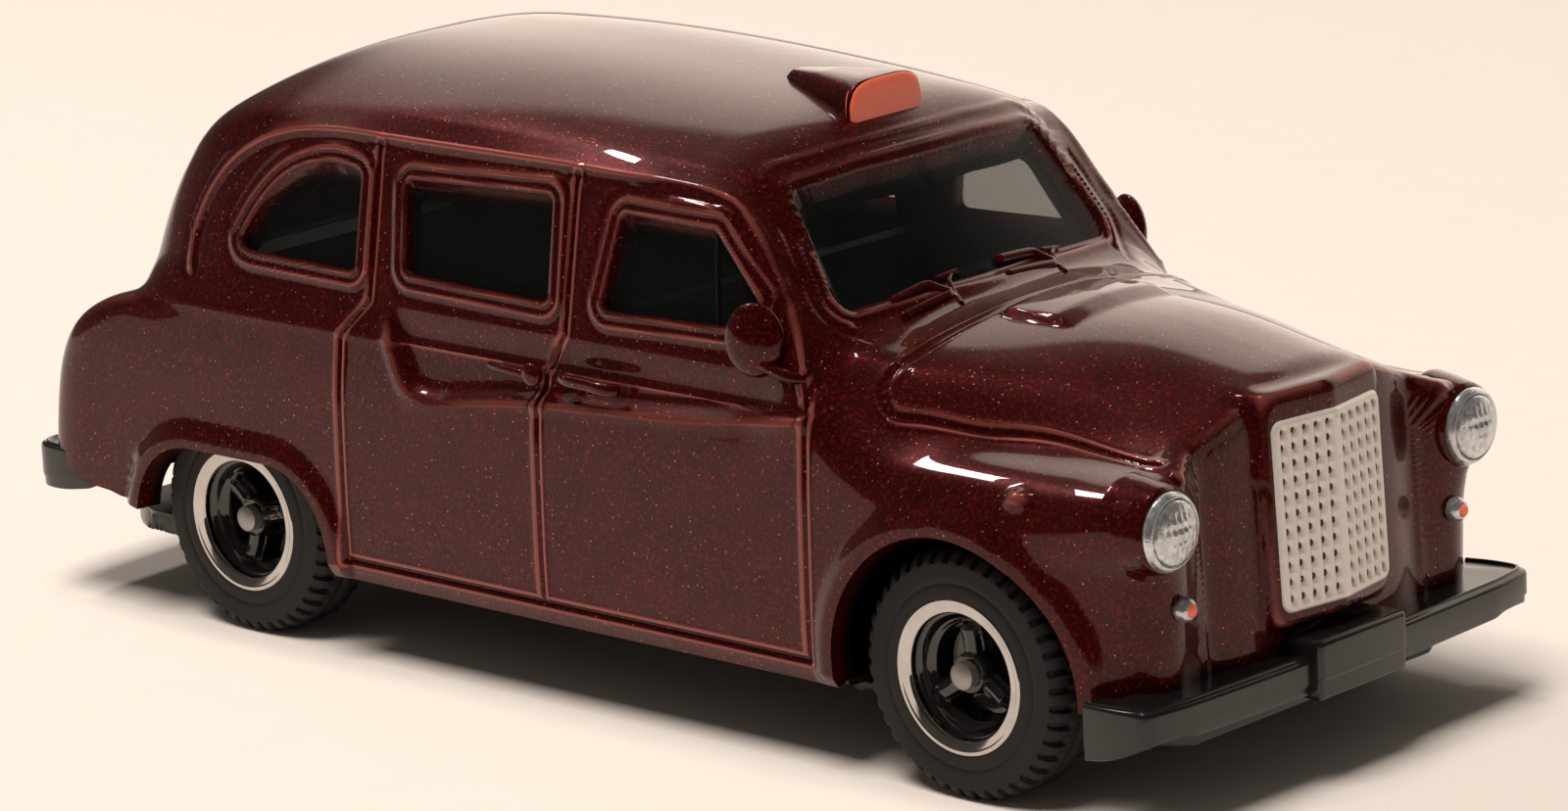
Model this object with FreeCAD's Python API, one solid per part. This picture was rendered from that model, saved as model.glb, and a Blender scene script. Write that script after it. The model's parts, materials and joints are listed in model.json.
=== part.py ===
import FreeCAD, Part
import math
import os

# Die-cast toy taxi cab, millimetres. +X is the nose, +Y the left side, +Z up.
# The origin lies on the floor under the middle of the car. The casting is a hollow zinc shell
# with moulded doors; a clear insert, a black interior and a black base with both bumpers close it.
V = FreeCAD.Vector

# Overall sizes
wheelbase = 45.0
front_overhang = 11.8            # front axle to the face of the front bumper
rear_overhang = 15.4             # rear axle to the face of the rear bumper
half_width = 13.55               # body side at the doors
flare_proud = 0.3                # how far the lips of the wheel arches stand out
flare_width = 1.0                # raised band round each arch
cabin_step = 0.85                # how much narrower the cabin is than the doors
roof_height = 28.1
waist_height = 17.3              # top of the lower body beside the cabin
sill_height = 4.05               # lower edge of the casting
sill_tuck = 0.3                  # how far the sides draw in at the sill
wall = 1.2                       # casting wall
plastic_wall = 0.9               # wall of the clear and the black mouldings
fit_gap = 0.06                   # between pieces that are fitted together

# Wheels and axles
tyre_radius = 5.55
tyre_width = 3.6
rim_radius = 3.5                 # seat of the tyre on the rim
rim_bore = 2.8                   # mouth of the rim, which holds the spoked hub
front_wheel_inset = 0.45         # outer face of the rim inside the body side
rear_wheel_inset = 0.75
axle_radius = 0.5
axle_clearance = 0.06            # running clearance round the axle
axle_head_radius = 0.62
arch_clearance = 0.85            # between the tyre and the front arch
rear_arch_height = 8.95
well_clearance = 0.65            # between the tyre and the rear wheel well
skirt_gap = 0.25                 # between the rear wheel face and the inside of its skirt

# Base and interior
base_height = 2.9                # underside of the base
base_thickness = 1.15
base_inset = 0.55                # base edge inside the body side
bumper_corner = 3.3              # corner radius of both bumpers in plan
axle_saddle_width = 3.2
rivet_radius = 0.8
rivet_head_radius = 1.45
rivet_head_height = 0.45
underside_drop = 0.55            # moulded drive line and blank panel below the base
post_radius = 1.7                # posts under the bonnet and the boot that take the rivets
saddle_height = 1.2              # base above the middle of an axle

length = wheelbase + front_overhang + rear_overhang
front_axle = length / 2 - front_overhang
rear_axle = front_axle - wheelbase
middle = (front_axle + rear_axle) / 2
flare_half_width = half_width + flare_proud
front_wheel_face = half_width - front_wheel_inset
rear_wheel_face = half_width - rear_wheel_inset
front_arch_radius = tyre_radius + arch_clearance
tub_floor = tyre_radius + saddle_height + 0.15
gutter_height = roof_height - 2.95
glazing_rim = waist_height - 0.2  # lower edge of the clear insert


def f(distance):
    """Station measured forward from the front axle."""
    return front_axle + distance


def r(distance):
    """Station measured forward from the rear axle."""
    return rear_axle + distance


# ---- outlines and solids

def place(plane, point):
    u, v = point
    if plane == "xz":
        return V(u, 0, v)
    if plane == "yz":
        return V(0, u, v)
    return V(u, v, 0)


def outline(plane, start, *steps):
    """Closed wire. A step is one point for a line, or a pair (through, end) for an arc."""
    edges = []
    here = place(plane, start)
    for step in steps + (start,):
        if isinstance(step[0], tuple):
            through, end = (place(plane, point) for point in step)
            edges.append(Part.Arc(here, through, end).toShape())
        else:
            end = place(plane, step)
            if end.distanceToPoint(here) > 1e-6:
                edges.append(Part.makeLine(here, end))
        here = end
    return Part.Wire(edges)


def mirrored(flip, start, *steps):
    """Closes a half outline, drawn from the middle plane back to it, with its mirror image."""
    points = [start] + [step[1] if isinstance(step[0], tuple) else step for step in steps]
    back = []
    for index in range(len(steps) - 1, -1, -1):
        step = steps[index]
        end = flip(points[index])
        back.append((flip(step[0]), end) if isinstance(step[0], tuple) else end)
    return (start,) + steps + tuple(back[:-1] if not isinstance(steps[0][0], tuple) else back)


def flip_first(point):
    return (-point[0], point[1])


def flip_second(point):
    return (point[0], -point[1])


def prism(wire, low, high, shrink=0.0):
    """Extrudes a wire square to its plane from low to high."""
    face = Part.Face(wire)
    if shrink:
        face = face.makeOffset2D(-shrink)
    normal = face.normalAt(0, 0)
    axis = V(abs(normal.x), abs(normal.y), abs(normal.z))
    solid = face.extrude(axis * (high - low))
    solid.translate(axis * low)
    return solid


def leaning_prism(wire, station, lean, shrink):
    """Tall prism on a wire in plan, tipped about the waist line at a station by lean, X for Z."""
    solid = prism(wire, -length, length, shrink)
    solid.translate(V(0, 0, waist_height))
    solid.rotate(V(station, 0, waist_height), V(0, 1, 0), math.degrees(math.atan(lean)))
    return solid


def block(x, y, z):
    """Box between three pairs of low and high values."""
    return Part.makeBox(x[1] - x[0], y[1] - y[0], z[1] - z[0], V(x[0], y[0], z[0]))


def rod(start, end, radius, end_radius=None):
    start, end = V(*start), V(*end)
    if end_radius is None:
        return Part.makeCylinder(radius, (end - start).Length, start, end - start)
    return Part.makeCone(radius, end_radius, (end - start).Length, start, end - start)


def mirror_y(shape):
    return shape.mirror(V(0, 0, 0), V(0, 1, 0))


def both(shape):
    """A shape and its mirror image on the other side."""
    return [shape, mirror_y(shape)]


def join(shapes):
    result = shapes[0].fuse(shapes[1:]) if len(shapes) > 1 else shapes[0]
    return result.removeSplitter()


def common(first, *others):
    for other in others:
        first = first.common(other)
    return first


# ---- the body, as volumes that can be made smaller by the casting's wall

def lower_plan():
    """Plan of the lower body: square nose panel, rounded wings, nearly straight sides."""
    side = -half_width
    return outline("xy", *mirrored(
        flip_second,
        (f(9.3), 0.0),
        (f(9.2), -7.4),
        ((f(7.7), -11.4), (f(4.2), side)),
        (r(-8.6), side),
        ((r(-12.2), side + 1.5), (r(-13.6), side + 4.8)),
        (r(-13.9), 0.0)))


def lower_side(open_below):
    """Side view of the lower body, with its wings lower than the doors."""
    top = [
        (f(9.9), 12.6),
        ((f(9.6), 14.3), (f(8.2), 15.0)),
        (f(-3.0), waist_height - 1.9),
        (f(-9.0), waist_height),
        (r(8.0), waist_height),
        (r(-3.0), waist_height - 1.0),
        (r(-8.0), waist_height - 1.7),
        ((r(-11.7), 13.6), (r(-13.0), 9.5)),
    ]
    if open_below:
        return outline("xz", (f(9.9), -2 * wall), *top, (r(-13.9), -2 * wall))
    return outline("xz", (f(9.5), 6.9), *top,
                   (r(-13.9), 7.5), (r(-10.2), 7.5), (r(-9.6), sill_height),
                   (f(6.6), sill_height), (f(7.2), 6.4))


def lower_section(open_below):
    """Front view of the lower body: shoulder rolled in above the doors."""
    bottom = -2 * wall if open_below else sill_height - 1.0
    return outline("yz", *mirrored(
        flip_first,
        (0.0, bottom),
        (half_width - sill_tuck, bottom),
        (half_width, 7.5),
        (half_width, 13.6),
        ((half_width - 0.35, waist_height - 1.4), (half_width - 1.25, waist_height)),
        (0.0, waist_height + 0.6)))


def lower_body(inset, open_below=False):
    far = length
    return common(prism(lower_plan(), -far, far, inset),
                  prism(lower_side(open_below), -far, far, inset),
                  prism(lower_section(open_below), -far, far, inset))


# Cabin sections. Columns: station, how far the side at the gutter leans in from the waist,
# gutter height below the roof gutter, crown height below the roof
cabin_sections = [
    (r(-9.0), 1.9, 1.6, 1.6),
    (r(-1.0), 1.5, 0.2, 0.4),
    (middle - 6.0, 1.4, 0.0, 0.0),
    (middle + 4.0, 1.4, 0.1, 0.6),
    (f(-13.0), 1.5, 0.9, 2.6),
    (f(-5.5), 1.7, 4.5, 6.2),
]
cabin_half_width = half_width - cabin_step


def cabin(inset, bottom):
    wires = []
    side = cabin_half_width - inset
    for station, lean, gutter_drop, crown_drop in cabin_sections:
        edge = side - lean
        edge_height = gutter_height - gutter_drop - inset * 0.8
        crown = roof_height - crown_drop - inset
        wire = outline("yz", (-side, bottom), (-side, waist_height - 0.9), (-edge, edge_height),
                       ((0.0, crown), (edge, edge_height)), (side, waist_height - 0.9), (side, bottom))
        wire.translate(V(station, 0, 0))
        wires.append(wire)
    hull = Part.makeLoft(wires, True, False)
    screen_corner = cabin_half_width - 3.2
    outside = 2 * half_width
    screen = outline("xy", *mirrored(
        flip_second, (f(-7.6), 0.0), ((f(-7.8), -screen_corner / 2), (f(-8.4), -screen_corner)),
        (f(-8.8), -cabin_half_width), (f(-8.8), -outside), (r(-40.0), -outside), (r(-40.0), 0.0)))
    rear_side = cabin_half_width + 0.2
    rear = outline("xy", *mirrored(
        flip_second, (f(40.0), 0.0), (f(40.0), -rear_side), (r(-3.4), -rear_side),
        ((r(-6.6), 1.7 - rear_side), (r(-7.6), 4.9 - rear_side)),
        ((r(-8.1), 2.4 - rear_side / 2), (r(-8.3), 0.0))))
    front_cut = leaning_prism(screen, f(-7.6), -0.65, inset)
    rear_cut = leaning_prism(rear, r(-8.3), 0.42, inset)
    top = roof_height + 0.01
    back = outline("xz", (f(12.0), -3 * waist_height), (f(12.0), top), (r(14.0), top),
                   ((r(8.0), top - 0.15), (r(2.5), top - 0.65)), ((r(-3.3), top - 3.2), (r(-6.4), top - 7.1)),
                   (r(-8.6), waist_height - 4.0), (r(-8.6), -3 * waist_height))
    return common(hull, front_cut, rear_cut, prism(back, -half_width, half_width, inset))


# Bonnet sections. Columns: station, half width, shoulder height, crown height
bonnet_start = f(-10.0)
bonnet_sections = [
    (bonnet_start, 10.4, 17.5, 19.35),
    (f(-2.0), 9.0, 17.0, 19.15),
    (f(3.5), 7.0, 16.4, 18.6),
    (f(9.5), 4.1, 16.2, 17.5),
]


def bonnet(inset, bottom):
    wires = []
    last = bonnet_sections[-1][0]
    for station, width, shoulder, crown in bonnet_sections:
        side = width - inset
        wire = outline("yz", (-side, bottom), (-side, shoulder - inset),
                       ((0.0, crown - inset), (side, shoulder - inset)), (side, bottom))
        wire.translate(V(station - (inset if station == last else 0.0), 0, 0))
        wires.append(wire)
    return Part.makeLoft(wires, True, False)


def boot(inset, bottom):
    """Boot lid between the rear wings, rounded down to the bumper."""
    side = outline("xz", (r(-4.0), bottom), (r(-4.0), waist_height - 0.2),
                   (r(-7.5), waist_height - 0.2), ((r(-12.9), 14.6), (r(-14.2), 9.5)), (r(-14.3), bottom))
    plan = outline("xy", (r(-4.0), -8.3), (r(-12.2), -8.3), ((r(-13.8), -7.6), (r(-14.3), -6.2)),
                   (r(-14.3), 6.2), ((r(-13.8), 7.6), (r(-12.2), 8.3)), (r(-4.0), 8.3))
    return common(prism(side, -half_width, half_width, inset), prism(plan, -length, length, inset))


# ---- windows. Each is an outline that cuts the wall and, made smaller, shapes its pane

def side_windows():
    """Side view of the rear quarter, rear door and front door windows."""
    return [
        outline("xz", (r(8.3), 18.7), (r(8.3), 23.4), ((r(5.5), 23.3), (r(3.4), 22.5)),
                (r(-0.2), 18.9), ((r(0.1), 18.3), (r(0.8), 18.2))),
        outline("xz", (middle - 11.4, 18.4), (middle - 2.4, 18.4), (middle - 1.6, 23.7),
                (middle - 11.3, 23.7)),
        outline("xz", (f(-21.3), 18.3), (f(-12.0), 18.7), (f(-11.7), 20.8), (f(-13.9), 23.5),
                (f(-19.9), 23.5)),
    ]


def screen_window():
    return outline("yz", (-8.6, 19.3), ((0.0, 19.75), (8.6, 19.3)), (8.3, 23.9),
                   ((0.0, 24.3), (-8.3, 23.9)))


def rear_window():
    return outline("yz", (-6.6, 19.0), (6.6, 19.0), ((6.8, 21.2), (6.2, 23.2)), (-6.2, 23.2),
                   ((-6.8, 21.2), (-6.6, 19.0)))


def window_prisms(shrink):
    """Prisms through every window opening, for cutting the wall or for shaping the panes."""
    prisms = []
    for wire in side_windows():
        prisms.append(prism(wire, 8.0, half_width + 1.0, shrink))
        prisms.append(prism(wire, -half_width - 1.0, -8.0, shrink))
    prisms.append(prism(screen_window(), f(-18.0), f(-4.0), shrink))
    prisms.append(prism(rear_window(), r(-12.0), r(-2.0), shrink))
    return prisms


# ---- wheel arches

def front_arch(lip=0.0):
    radius = front_arch_radius + lip
    centre_height = tyre_radius - 0.15
    return outline("xz", (f(-0.2) - radius, -1.0), (f(-0.2) - radius, centre_height),
                   ((f(-0.2), centre_height + radius), (f(-0.2) + radius, centre_height)),
                   (f(-0.2) + radius, -1.0))


def rear_arch(lip=0.0):
    """Flat-topped arch whose skirt hides the top of the wheel."""
    half = tyre_radius + 1.05 + lip
    top = rear_arch_height + lip
    return outline("xz", (r(0.3) - half, -1.0), (r(0.3) - half, sill_height + 0.4),
                   ((r(0.3) - half + 1.3, top - 1.4), (r(0.3) - half + 4.2, top)),
                   (r(0.3) + half - 4.2, top),
                   ((r(0.3) + half - 1.3, top - 1.4), (r(0.3) + half, sill_height + 0.4)),
                   (r(0.3) + half, -1.0))


def arch_flares():
    low = half_width - 0.5
    rings = []
    for arch in (front_arch, rear_arch):
        outer = prism(arch(flare_width), low, flare_half_width)
        inner = prism(arch(), low - 1.0, flare_half_width + 1.0)
        floor = block((-length, length), (0, 2 * half_width), (-2.0, sill_height))
        rings += both(outer.cut(inner).cut(floor))
    return rings


def wheel_wells():
    """Room for the wheels: right through at the front, closed by the skirt at the rear."""
    through = 2 * half_width
    cuts = [prism(front_arch(), -through, through), prism(rear_arch(), -through, through)]
    well_radius = tyre_radius + well_clearance
    skirt_inside = rear_wheel_face + skirt_gap
    well = rod((rear_axle, -skirt_inside, tyre_radius), (rear_axle, skirt_inside, tyre_radius), well_radius)
    return cuts + [well]


# ---- moulded details of the casting

# Panel lines of the doors. Columns: station, low end, high end
panel_lines = [
    (r(7.9), 5.2, 15.8),
    (middle - 1.8, 5.2, 15.8),
    (f(-8.2), 5.2, 15.8),
]
panel_line_width = 0.4
panel_line_depth = 0.3


def door_grooves():
    depth = (half_width - panel_line_depth, half_width + 1.0)
    cuts = []
    for station, low, high in panel_lines:
        edges = (station - panel_line_width / 2, station + panel_line_width / 2)
        cuts += both(block(edges, depth, (low, high)))
    ends = (panel_lines[0][0], panel_lines[-1][0])
    cuts += both(block(ends, depth, (5.0, 5.0 + panel_line_width)))
    return cuts


def door_handles():
    """Columns: hinge end, lever end, for the rear and the front door."""
    levers = []
    for start, end in ((middle - 5.9, middle - 2.9), (middle + 3.0, middle - 0.4)):
        low, high = min(start, end), max(start, end)
        levers += both(block((low, high), (half_width - 0.8, half_width + 0.1), (14.7, 15.4)))
    return levers


def door_mirrors():
    head = Part.makeSphere(1.45)
    stretch = FreeCAD.Matrix()
    stretch.scale(0.95, 0.75, 1.05)
    head = head.transformGeometry(stretch)
    head.translate(V(f(-11.7), 12.7, 18.5))
    stalk = rod((f(-11.5), 11.6, 17.6), (f(-11.6), 12.7, 18.2), 0.7)
    return both(head) + both(stalk)


def lamps():
    """Headlamps with domed glasses, indicators below them, and upright tail lamps."""
    pieces = []
    lamp_radius = 1.7
    dome_height = 0.45
    dome_radius = (lamp_radius ** 2 + dome_height ** 2) / (2 * dome_height)
    y, z = 10.48, 12.9
    front = f(9.7)
    barrel = rod((f(5.0), y, z), (front, y, z), lamp_radius)
    ball = Part.makeSphere(dome_radius, V(front + dome_height - dome_radius, y, z))
    dome = ball.common(rod((front - 0.2, y, z), (front + 1.0, y, z), lamp_radius))
    pieces += both(barrel) + both(dome)
    indicator_radius = 0.58
    pieces += both(rod((f(6.0), 9.5, 9.3), (f(9.4), 9.5, 9.3), indicator_radius))
    pieces += both(block((r(-13.0), r(-8.0)), (10.9, 12.3), (9.3, 13.4)))
    return pieces


def grille_shell():
    """Upright rounded surround of the radiator grille, standing out from the nose."""
    def surround(half, low, high, corner):
        cut = corner * (1 - math.sqrt(0.5))
        return outline("yz", *mirrored(
            flip_first, (0.0, low), (half - corner, low), ((half - cut, low + cut), (half, low + corner)),
            (half, high - corner), ((half - cut, high - cut), (half - corner, high)), (0.0, high)))
    shell = prism(surround(4.1, 7.0, 17.1, 1.0), f(5.0), f(9.9))
    recess = prism(surround(3.5, 7.8, 16.3, 0.7), f(9.65), f(12.0))
    return shell.cut(recess)


def roof_sign():
    """Sign pod on the roof above the windscreen, tapering to the rear."""
    top = roof_height - 0.1
    side = outline("xz", (f(-14.4), top - 3.2), (f(-14.45), top - 0.35), ((f(-14.6), top - 0.05),
                   (f(-15.0), top)), ((f(-17.5), top - 0.15), (f(-20.2), top - 0.8)), (f(-20.2), top - 3.2))
    plan = outline("xy", (f(-14.3), -2.5), (f(-14.3), 2.5), (f(-20.2), 1.5), (f(-20.2), -1.5))
    return common(prism(side, -5.0, 5.0), prism(plan, 0.0, 2 * roof_height))


# Posts cast down from the bonnet and the boot to the base. Columns: station, top
post_table = [(f(5.0), 17.4), (r(-9.6), 15.6)]


def rivet_posts(extra=0.0):
    base_top = base_height + base_thickness
    return [rod((station, 0, base_top), (station, 0, top), post_radius + extra)
            for station, top in post_table]


def rivet_holes(extra=0.0):
    base_top = base_height + base_thickness
    depth = 3.0
    return [rod((station, 0, -1.0), (station, 0, base_top + depth + extra), rivet_radius + extra)
            for station, top in post_table]


def body_casting():
    deep = 2.0                    # how far the cabin reaches down into the lower body
    low = -2 * wall
    outer = join([lower_body(0.0), cabin(0.0, waist_height - deep), bonnet(0.0, 10.0), boot(0.0, 7.6)])
    hollow = [lower_body(wall, True), cabin(wall, low), bonnet(wall, low), boot(wall, low)]
    shell = outer.cut(hollow).cut(window_prisms(0.0))
    details = [roof_sign().cut(cabin(wall, low)), grille_shell()] + arch_flares() + lamps()
    details += door_mirrors() + door_handles()
    body = join([shell] + [piece.cut(hollow) for piece in details] + rivet_posts())
    return body.cut(wheel_wells()).cut(door_grooves()).cut(rivet_holes(fit_gap))


# ---- clear insert

def window_glazing():
    """One clear moulding: a liner under the roof, with a pane standing out into each window."""
    outside = wall + fit_gap
    low = waist_height - 2.0
    liner = cabin(outside, low).cut(cabin(outside + plastic_wall, low - 1.0))
    pane_recess = 0.35
    panes = cabin(pane_recess, low).cut(cabin(outside + 0.5, low - 1.0))
    shaped = [panes.common(window) for window in window_prisms(fit_gap)]
    above = block((-length, length), (-half_width, half_width), (glazing_rim, 2 * roof_height))
    return join([liner.common(above)] + shaped)


# ---- black interior

def interior_tub():
    """Floor, door cards, partition, rear bench, tip-up seats, driver's seat and dashboard."""
    outside = wall + fit_gap + plastic_wall + fit_gap
    ceiling = waist_height - 0.4
    top = waist_height - 0.9
    side = cabin_half_width - outside
    front, back = bonnet_start - fit_gap, r(-4.0)
    outer = block((back, front), (-side, side), (tub_floor, top))
    inside = block((back + plastic_wall, front - plastic_wall), (plastic_wall - side, side - plastic_wall),
                   (tub_floor + plastic_wall, top + 1.0))
    floor = tub_floor + plastic_wall - 0.2
    inner = side - plastic_wall + 0.2
    parts = [outer.cut(inside)]
    parts.append(block((middle + 1.0, middle + 1.9), (-inner, inner), (floor, ceiling + 1.6)))
    parts.append(block((back + 0.5, back + 6.5), (-inner, inner), (floor, 12.6)))
    parts.append(block((back + 0.3, back + 2.4), (-inner, inner), (floor, ceiling + 0.6)))
    for y in (-5.6, 2.2):
        parts.append(block((middle - 0.5, middle + 1.2), (y, y + 3.4), (floor + 2.5, 14.5)))
    seat = (-9.0, -2.6)
    parts.append(block((middle + 4.6, middle + 10.4), seat, (floor, 11.6)))
    parts.append(block((middle + 4.0, middle + 5.9), seat, (floor, ceiling + 0.8)))
    parts.append(block((front - 3.0, front - 0.3), (-inner, inner), (floor, top)))
    wheel = rod((front - 4.6, -5.8, 15.6), (front - 5.0, -5.8, 15.9), 2.0)
    column = rod((front - 2.8, -5.8, 14.2), (front - 4.8, -5.8, 15.75), 0.4)
    tub = join(parts + [wheel, column])
    well = tyre_radius + well_clearance + wall
    wells = [rod((rear_axle, sign * (rear_wheel_face - tyre_width - 0.5), tyre_radius),
                 (rear_axle, sign * 2 * half_width, tyre_radius), well) for sign in (-1, 1)]
    return tub.cut(wells)


# ---- black base with both bumpers

def bumper(station, reach, low, high, deep, end_reach, end_low, end_high, direction):
    """Bar across the end, wrapped round the corners, with taller ends."""
    def bar_plan(inner, back):
        edge = flare_half_width - inner
        tip = station + direction * (reach - inner)
        corner = min(bumper_corner, reach - end_reach - fit_gap) - inner
        cut = corner * (1 - math.sqrt(0.5))
        return mirrored(flip_second, (tip, 0.0), (tip, -edge + corner),
                        ((tip - direction * cut, -edge + cut), (tip - direction * corner, -edge)),
                        (back, -edge), (back, 0.0))
    back = station + direction * end_reach
    ring = prism(outline("xy", *bar_plan(0.0, back)), end_low, end_high)
    hole = prism(outline("xy", *bar_plan(deep, back - direction * 1.0)), end_low - 1.0, end_high + 1.0)
    bar = ring.cut(hole)
    span = flare_half_width - 2.6
    ends = sorted((back - direction * 2.0, station + direction * (reach + 1.0)))
    for z in ((end_low - 1.0, low), (high, end_high + 1.0)):
        bar = bar.cut(block(ends, (-span, span), z))
    return bar


def wheel_notches(clearance):
    """Room for the four wheels beside the base. Columns: axle station, outer face of its wheels."""
    cuts = []
    for station, face in ((front_axle, front_wheel_face), (rear_axle, rear_wheel_face)):
        inner = face - tyre_width - clearance
        reach = tyre_radius + clearance + 0.4
        cuts += both(block((station - reach, station + reach), (inner, 2 * half_width), (-1.0, 20.0)))
    return cuts


def base_plate():
    base_top = base_height + base_thickness
    pan = prism(lower_plan(), base_height, sill_height - fit_gap, base_inset)
    rim_inset = wall + sill_tuck + fit_gap
    locating = prism(lower_plan(), base_height, base_top + 0.9, rim_inset)
    inside = prism(lower_plan(), base_top, base_top + 2.0, rim_inset + plastic_wall)
    pan = join([pan, locating.cut(inside)])
    ends = [block((f(7.0), f(11.0)), (-2 * half_width, 2 * half_width), (sill_height - fit_gap, 8.0)),
            block((r(-14.5), r(-9.4)), (-2 * half_width, 2 * half_width), (sill_height - fit_gap, 8.0))]
    pan = pan.cut(ends)
    front_reach = front_overhang - 0.45
    front_ends = front_arch_radius + flare_width
    parts = [pan]
    parts.append(bumper(front_axle, front_reach, 4.1, 5.75, 1.5, front_ends, 3.3, 6.1, 1))
    parts.append(bumper(rear_axle, rear_overhang, 5.1, 7.1, 1.5, 10.6, 4.9, 7.3, -1))
    parts.append(block((f(9.4), f(front_overhang)), (-3.0, 3.0), (3.95, 6.6)))
    parts.append(block((f(7.0), f(front_reach - 0.5)), (-9.5, 9.5), (base_height + 0.3, 4.6)))
    parts.append(block((r(-14.2), r(-11.6)), (-9.5, 9.5), (base_height + 0.3, 5.6)))
    parts.append(block((r(-15.0), r(-13.5)), (-9.5, 9.5), (4.6, 5.6)))
    parts += both(block((f(7.2), f(9.0)), (9.3, 12.9), (base_height + 0.3, 4.4)))
    parts += both(block((r(-13.0), r(-10.7)), (9.3, 13.0), (base_height + 0.3, 5.6)))
    for station in (front_axle, rear_axle):
        half = axle_saddle_width / 2
        parts.append(block((station - half, station + half), (-8.2, 8.2),
                           (base_top - 0.3, tyre_radius + saddle_height)))
    parts += underside(base_height)
    base = join(parts)
    bore = axle_radius + fit_gap
    bores = [rod((station, -half_width, tyre_radius), (station, half_width, tyre_radius), bore)
             for station in (front_axle, rear_axle)]
    return base.cut(bores + rivet_holes(fit_gap) + rivet_posts(fit_gap) + wheel_notches(0.6))


def underside(level):
    """Blank panel, drive line and exhaust moulded under the floor, standing a little below it."""
    drop = underside_drop
    panel = 5.5                   # half of the blank panel's side
    pieces = [block((middle - panel, middle + panel), (-panel, panel), (level - drop, level + 0.4)),
              block((f(-6.5), f(2.2)), (-3.2, 3.2), (level - drop, level + 0.4)),
              block((f(-13.5), f(-6.3)), (-2.0, 2.0), (level - drop, level + 0.4)),
              block((r(4.0), r(11.5)), (4.2, 9.2), (level - drop, level + 0.4)),
              block((middle - 7.5, middle + 5.5), (-9.0, -6.6), (level - drop, level + 0.4))]
    shaft_radius, tube_radius, pipe_radius, case_radius = 0.6, 0.65, 0.45, 1.4
    lowest = level - drop + 0.02
    shaft, tube, pipe = lowest + shaft_radius, lowest + tube_radius, lowest + pipe_radius
    pieces.append(rod((f(-13.6), 0, shaft), (rear_axle, 0, shaft), shaft_radius))
    pieces.append(rod((rear_axle, -7.6, tube), (rear_axle, 7.6, tube), tube_radius))
    pieces.append(Part.makeSphere(case_radius, V(rear_axle, 0, lowest + case_radius)))
    pieces.append(rod((f(-5.0), -7.8, pipe), (r(-9.0), -7.8, pipe), pipe_radius))
    return pieces


# ---- axles, rivets and wheels

def axle(station, face):
    head_start = face - 0.43
    shaft = rod((station, -head_start, tyre_radius), (station, head_start, tyre_radius), axle_radius)
    heads = []
    for sign in (-1, 1):
        flat = rod((station, sign * head_start, tyre_radius),
                   (station, sign * (head_start + 0.2), tyre_radius), axle_head_radius)
        domed = rod((station, sign * (head_start + 0.2), tyre_radius),
                    (station, sign * (head_start + 0.34), tyre_radius),
                    axle_head_radius, axle_head_radius * 0.6)
        heads += [flat, domed]
    return join([shaft] + heads)


def rivet(station):
    base_top = base_height + base_thickness
    head = rod((station, 0, base_height - rivet_head_height), (station, 0, base_height),
               rivet_head_radius * 0.75, rivet_head_radius)
    shank = rod((station, 0, base_height), (station, 0, base_top + 2.9), rivet_radius)
    return join([head, shank])


def turned(profile, face, side):
    """Solid of revolution about an axle. A profile point is (radius, distance out from the face)."""
    points = [V(0, face + depth, radius) for radius, depth in profile]
    wire = Part.makePolygon(points + points[:1])
    solid = Part.Face(wire).revolve(V(0, 0, 0), V(0, 1, 0), 360)
    return solid if side > 0 else mirror_y(solid)


def tyre_profile():
    width = tyre_width
    return [(rim_radius, -0.05), (rim_radius + 0.5, 0.0), (tyre_radius - 0.5, -0.12),
            (tyre_radius - 0.12, -0.5), (tyre_radius, -1.0), (tyre_radius, -width + 0.6),
            (tyre_radius - 0.35, -width), (rim_radius, -width)]


def rim_profile():
    bore = axle_radius + axle_clearance
    web_front, web_back = -2.4, -3.0
    return [(rim_radius - 0.03, 0.0), (rim_bore, -0.75), (rim_bore, web_front), (bore, web_front),
            (bore, web_back), (rim_bore, web_back), (rim_bore, -tyre_width + 0.05),
            (rim_radius, -tyre_width + 0.05), (rim_radius, -0.08)]


def hub_profile():
    bore = axle_radius + axle_clearance
    return [(bore, -2.4), (rim_bore, -2.4), (rim_bore, -0.95), (rim_bore - 0.5, -1.0),
            (1.15, -0.75), (1.0, -0.48), (bore, -0.48)]


def hub_windows(face, side):
    """Three rounded openings between the spokes."""
    cuts = []
    for turn in (90, 210, 330):
        middle_radius = 1.9
        for swing in (-22, 0, 22):
            angle = math.radians(turn + swing)
            x, z = middle_radius * math.cos(angle), middle_radius * math.sin(angle)
            cuts.append(rod((x, side * (face - 2.0), z), (x, side * (face + 1.0), z), 0.5))
    return cuts


# Wheels. Columns: name, axle station, outer face, side
wheels = [
    ("front_right", front_axle, front_wheel_face, -1),
    ("front_left", front_axle, front_wheel_face, 1),
    ("rear_right", rear_axle, rear_wheel_face, -1),
    ("rear_left", rear_axle, rear_wheel_face, 1),
]


def wheel_nodes():
    nodes = {}
    for name, station, face, side in wheels:
        centre = V(station, 0, tyre_radius)
        pieces = {"tyre": turned(tyre_profile(), face, side), "rim": turned(rim_profile(), face, side),
                  "hub": turned(hub_profile(), face, side).cut(hub_windows(face, side))}
        for piece, shape in pieces.items():
            shape.translate(centre)
            nodes[name + "_" + piece] = shape
    return nodes


nodes = {
    "body_casting": body_casting(),
    "window_glazing": window_glazing(),
    "interior_tub": interior_tub(),
    "base_plate": base_plate(),
    "front_axle": axle(front_axle, front_wheel_face),
    "rear_axle": axle(rear_axle, rear_wheel_face),
    "front_rivet": rivet(post_table[0][0]),
    "rear_rivet": rivet(post_table[1][0]),
}
nodes.update(wheel_nodes())

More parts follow.
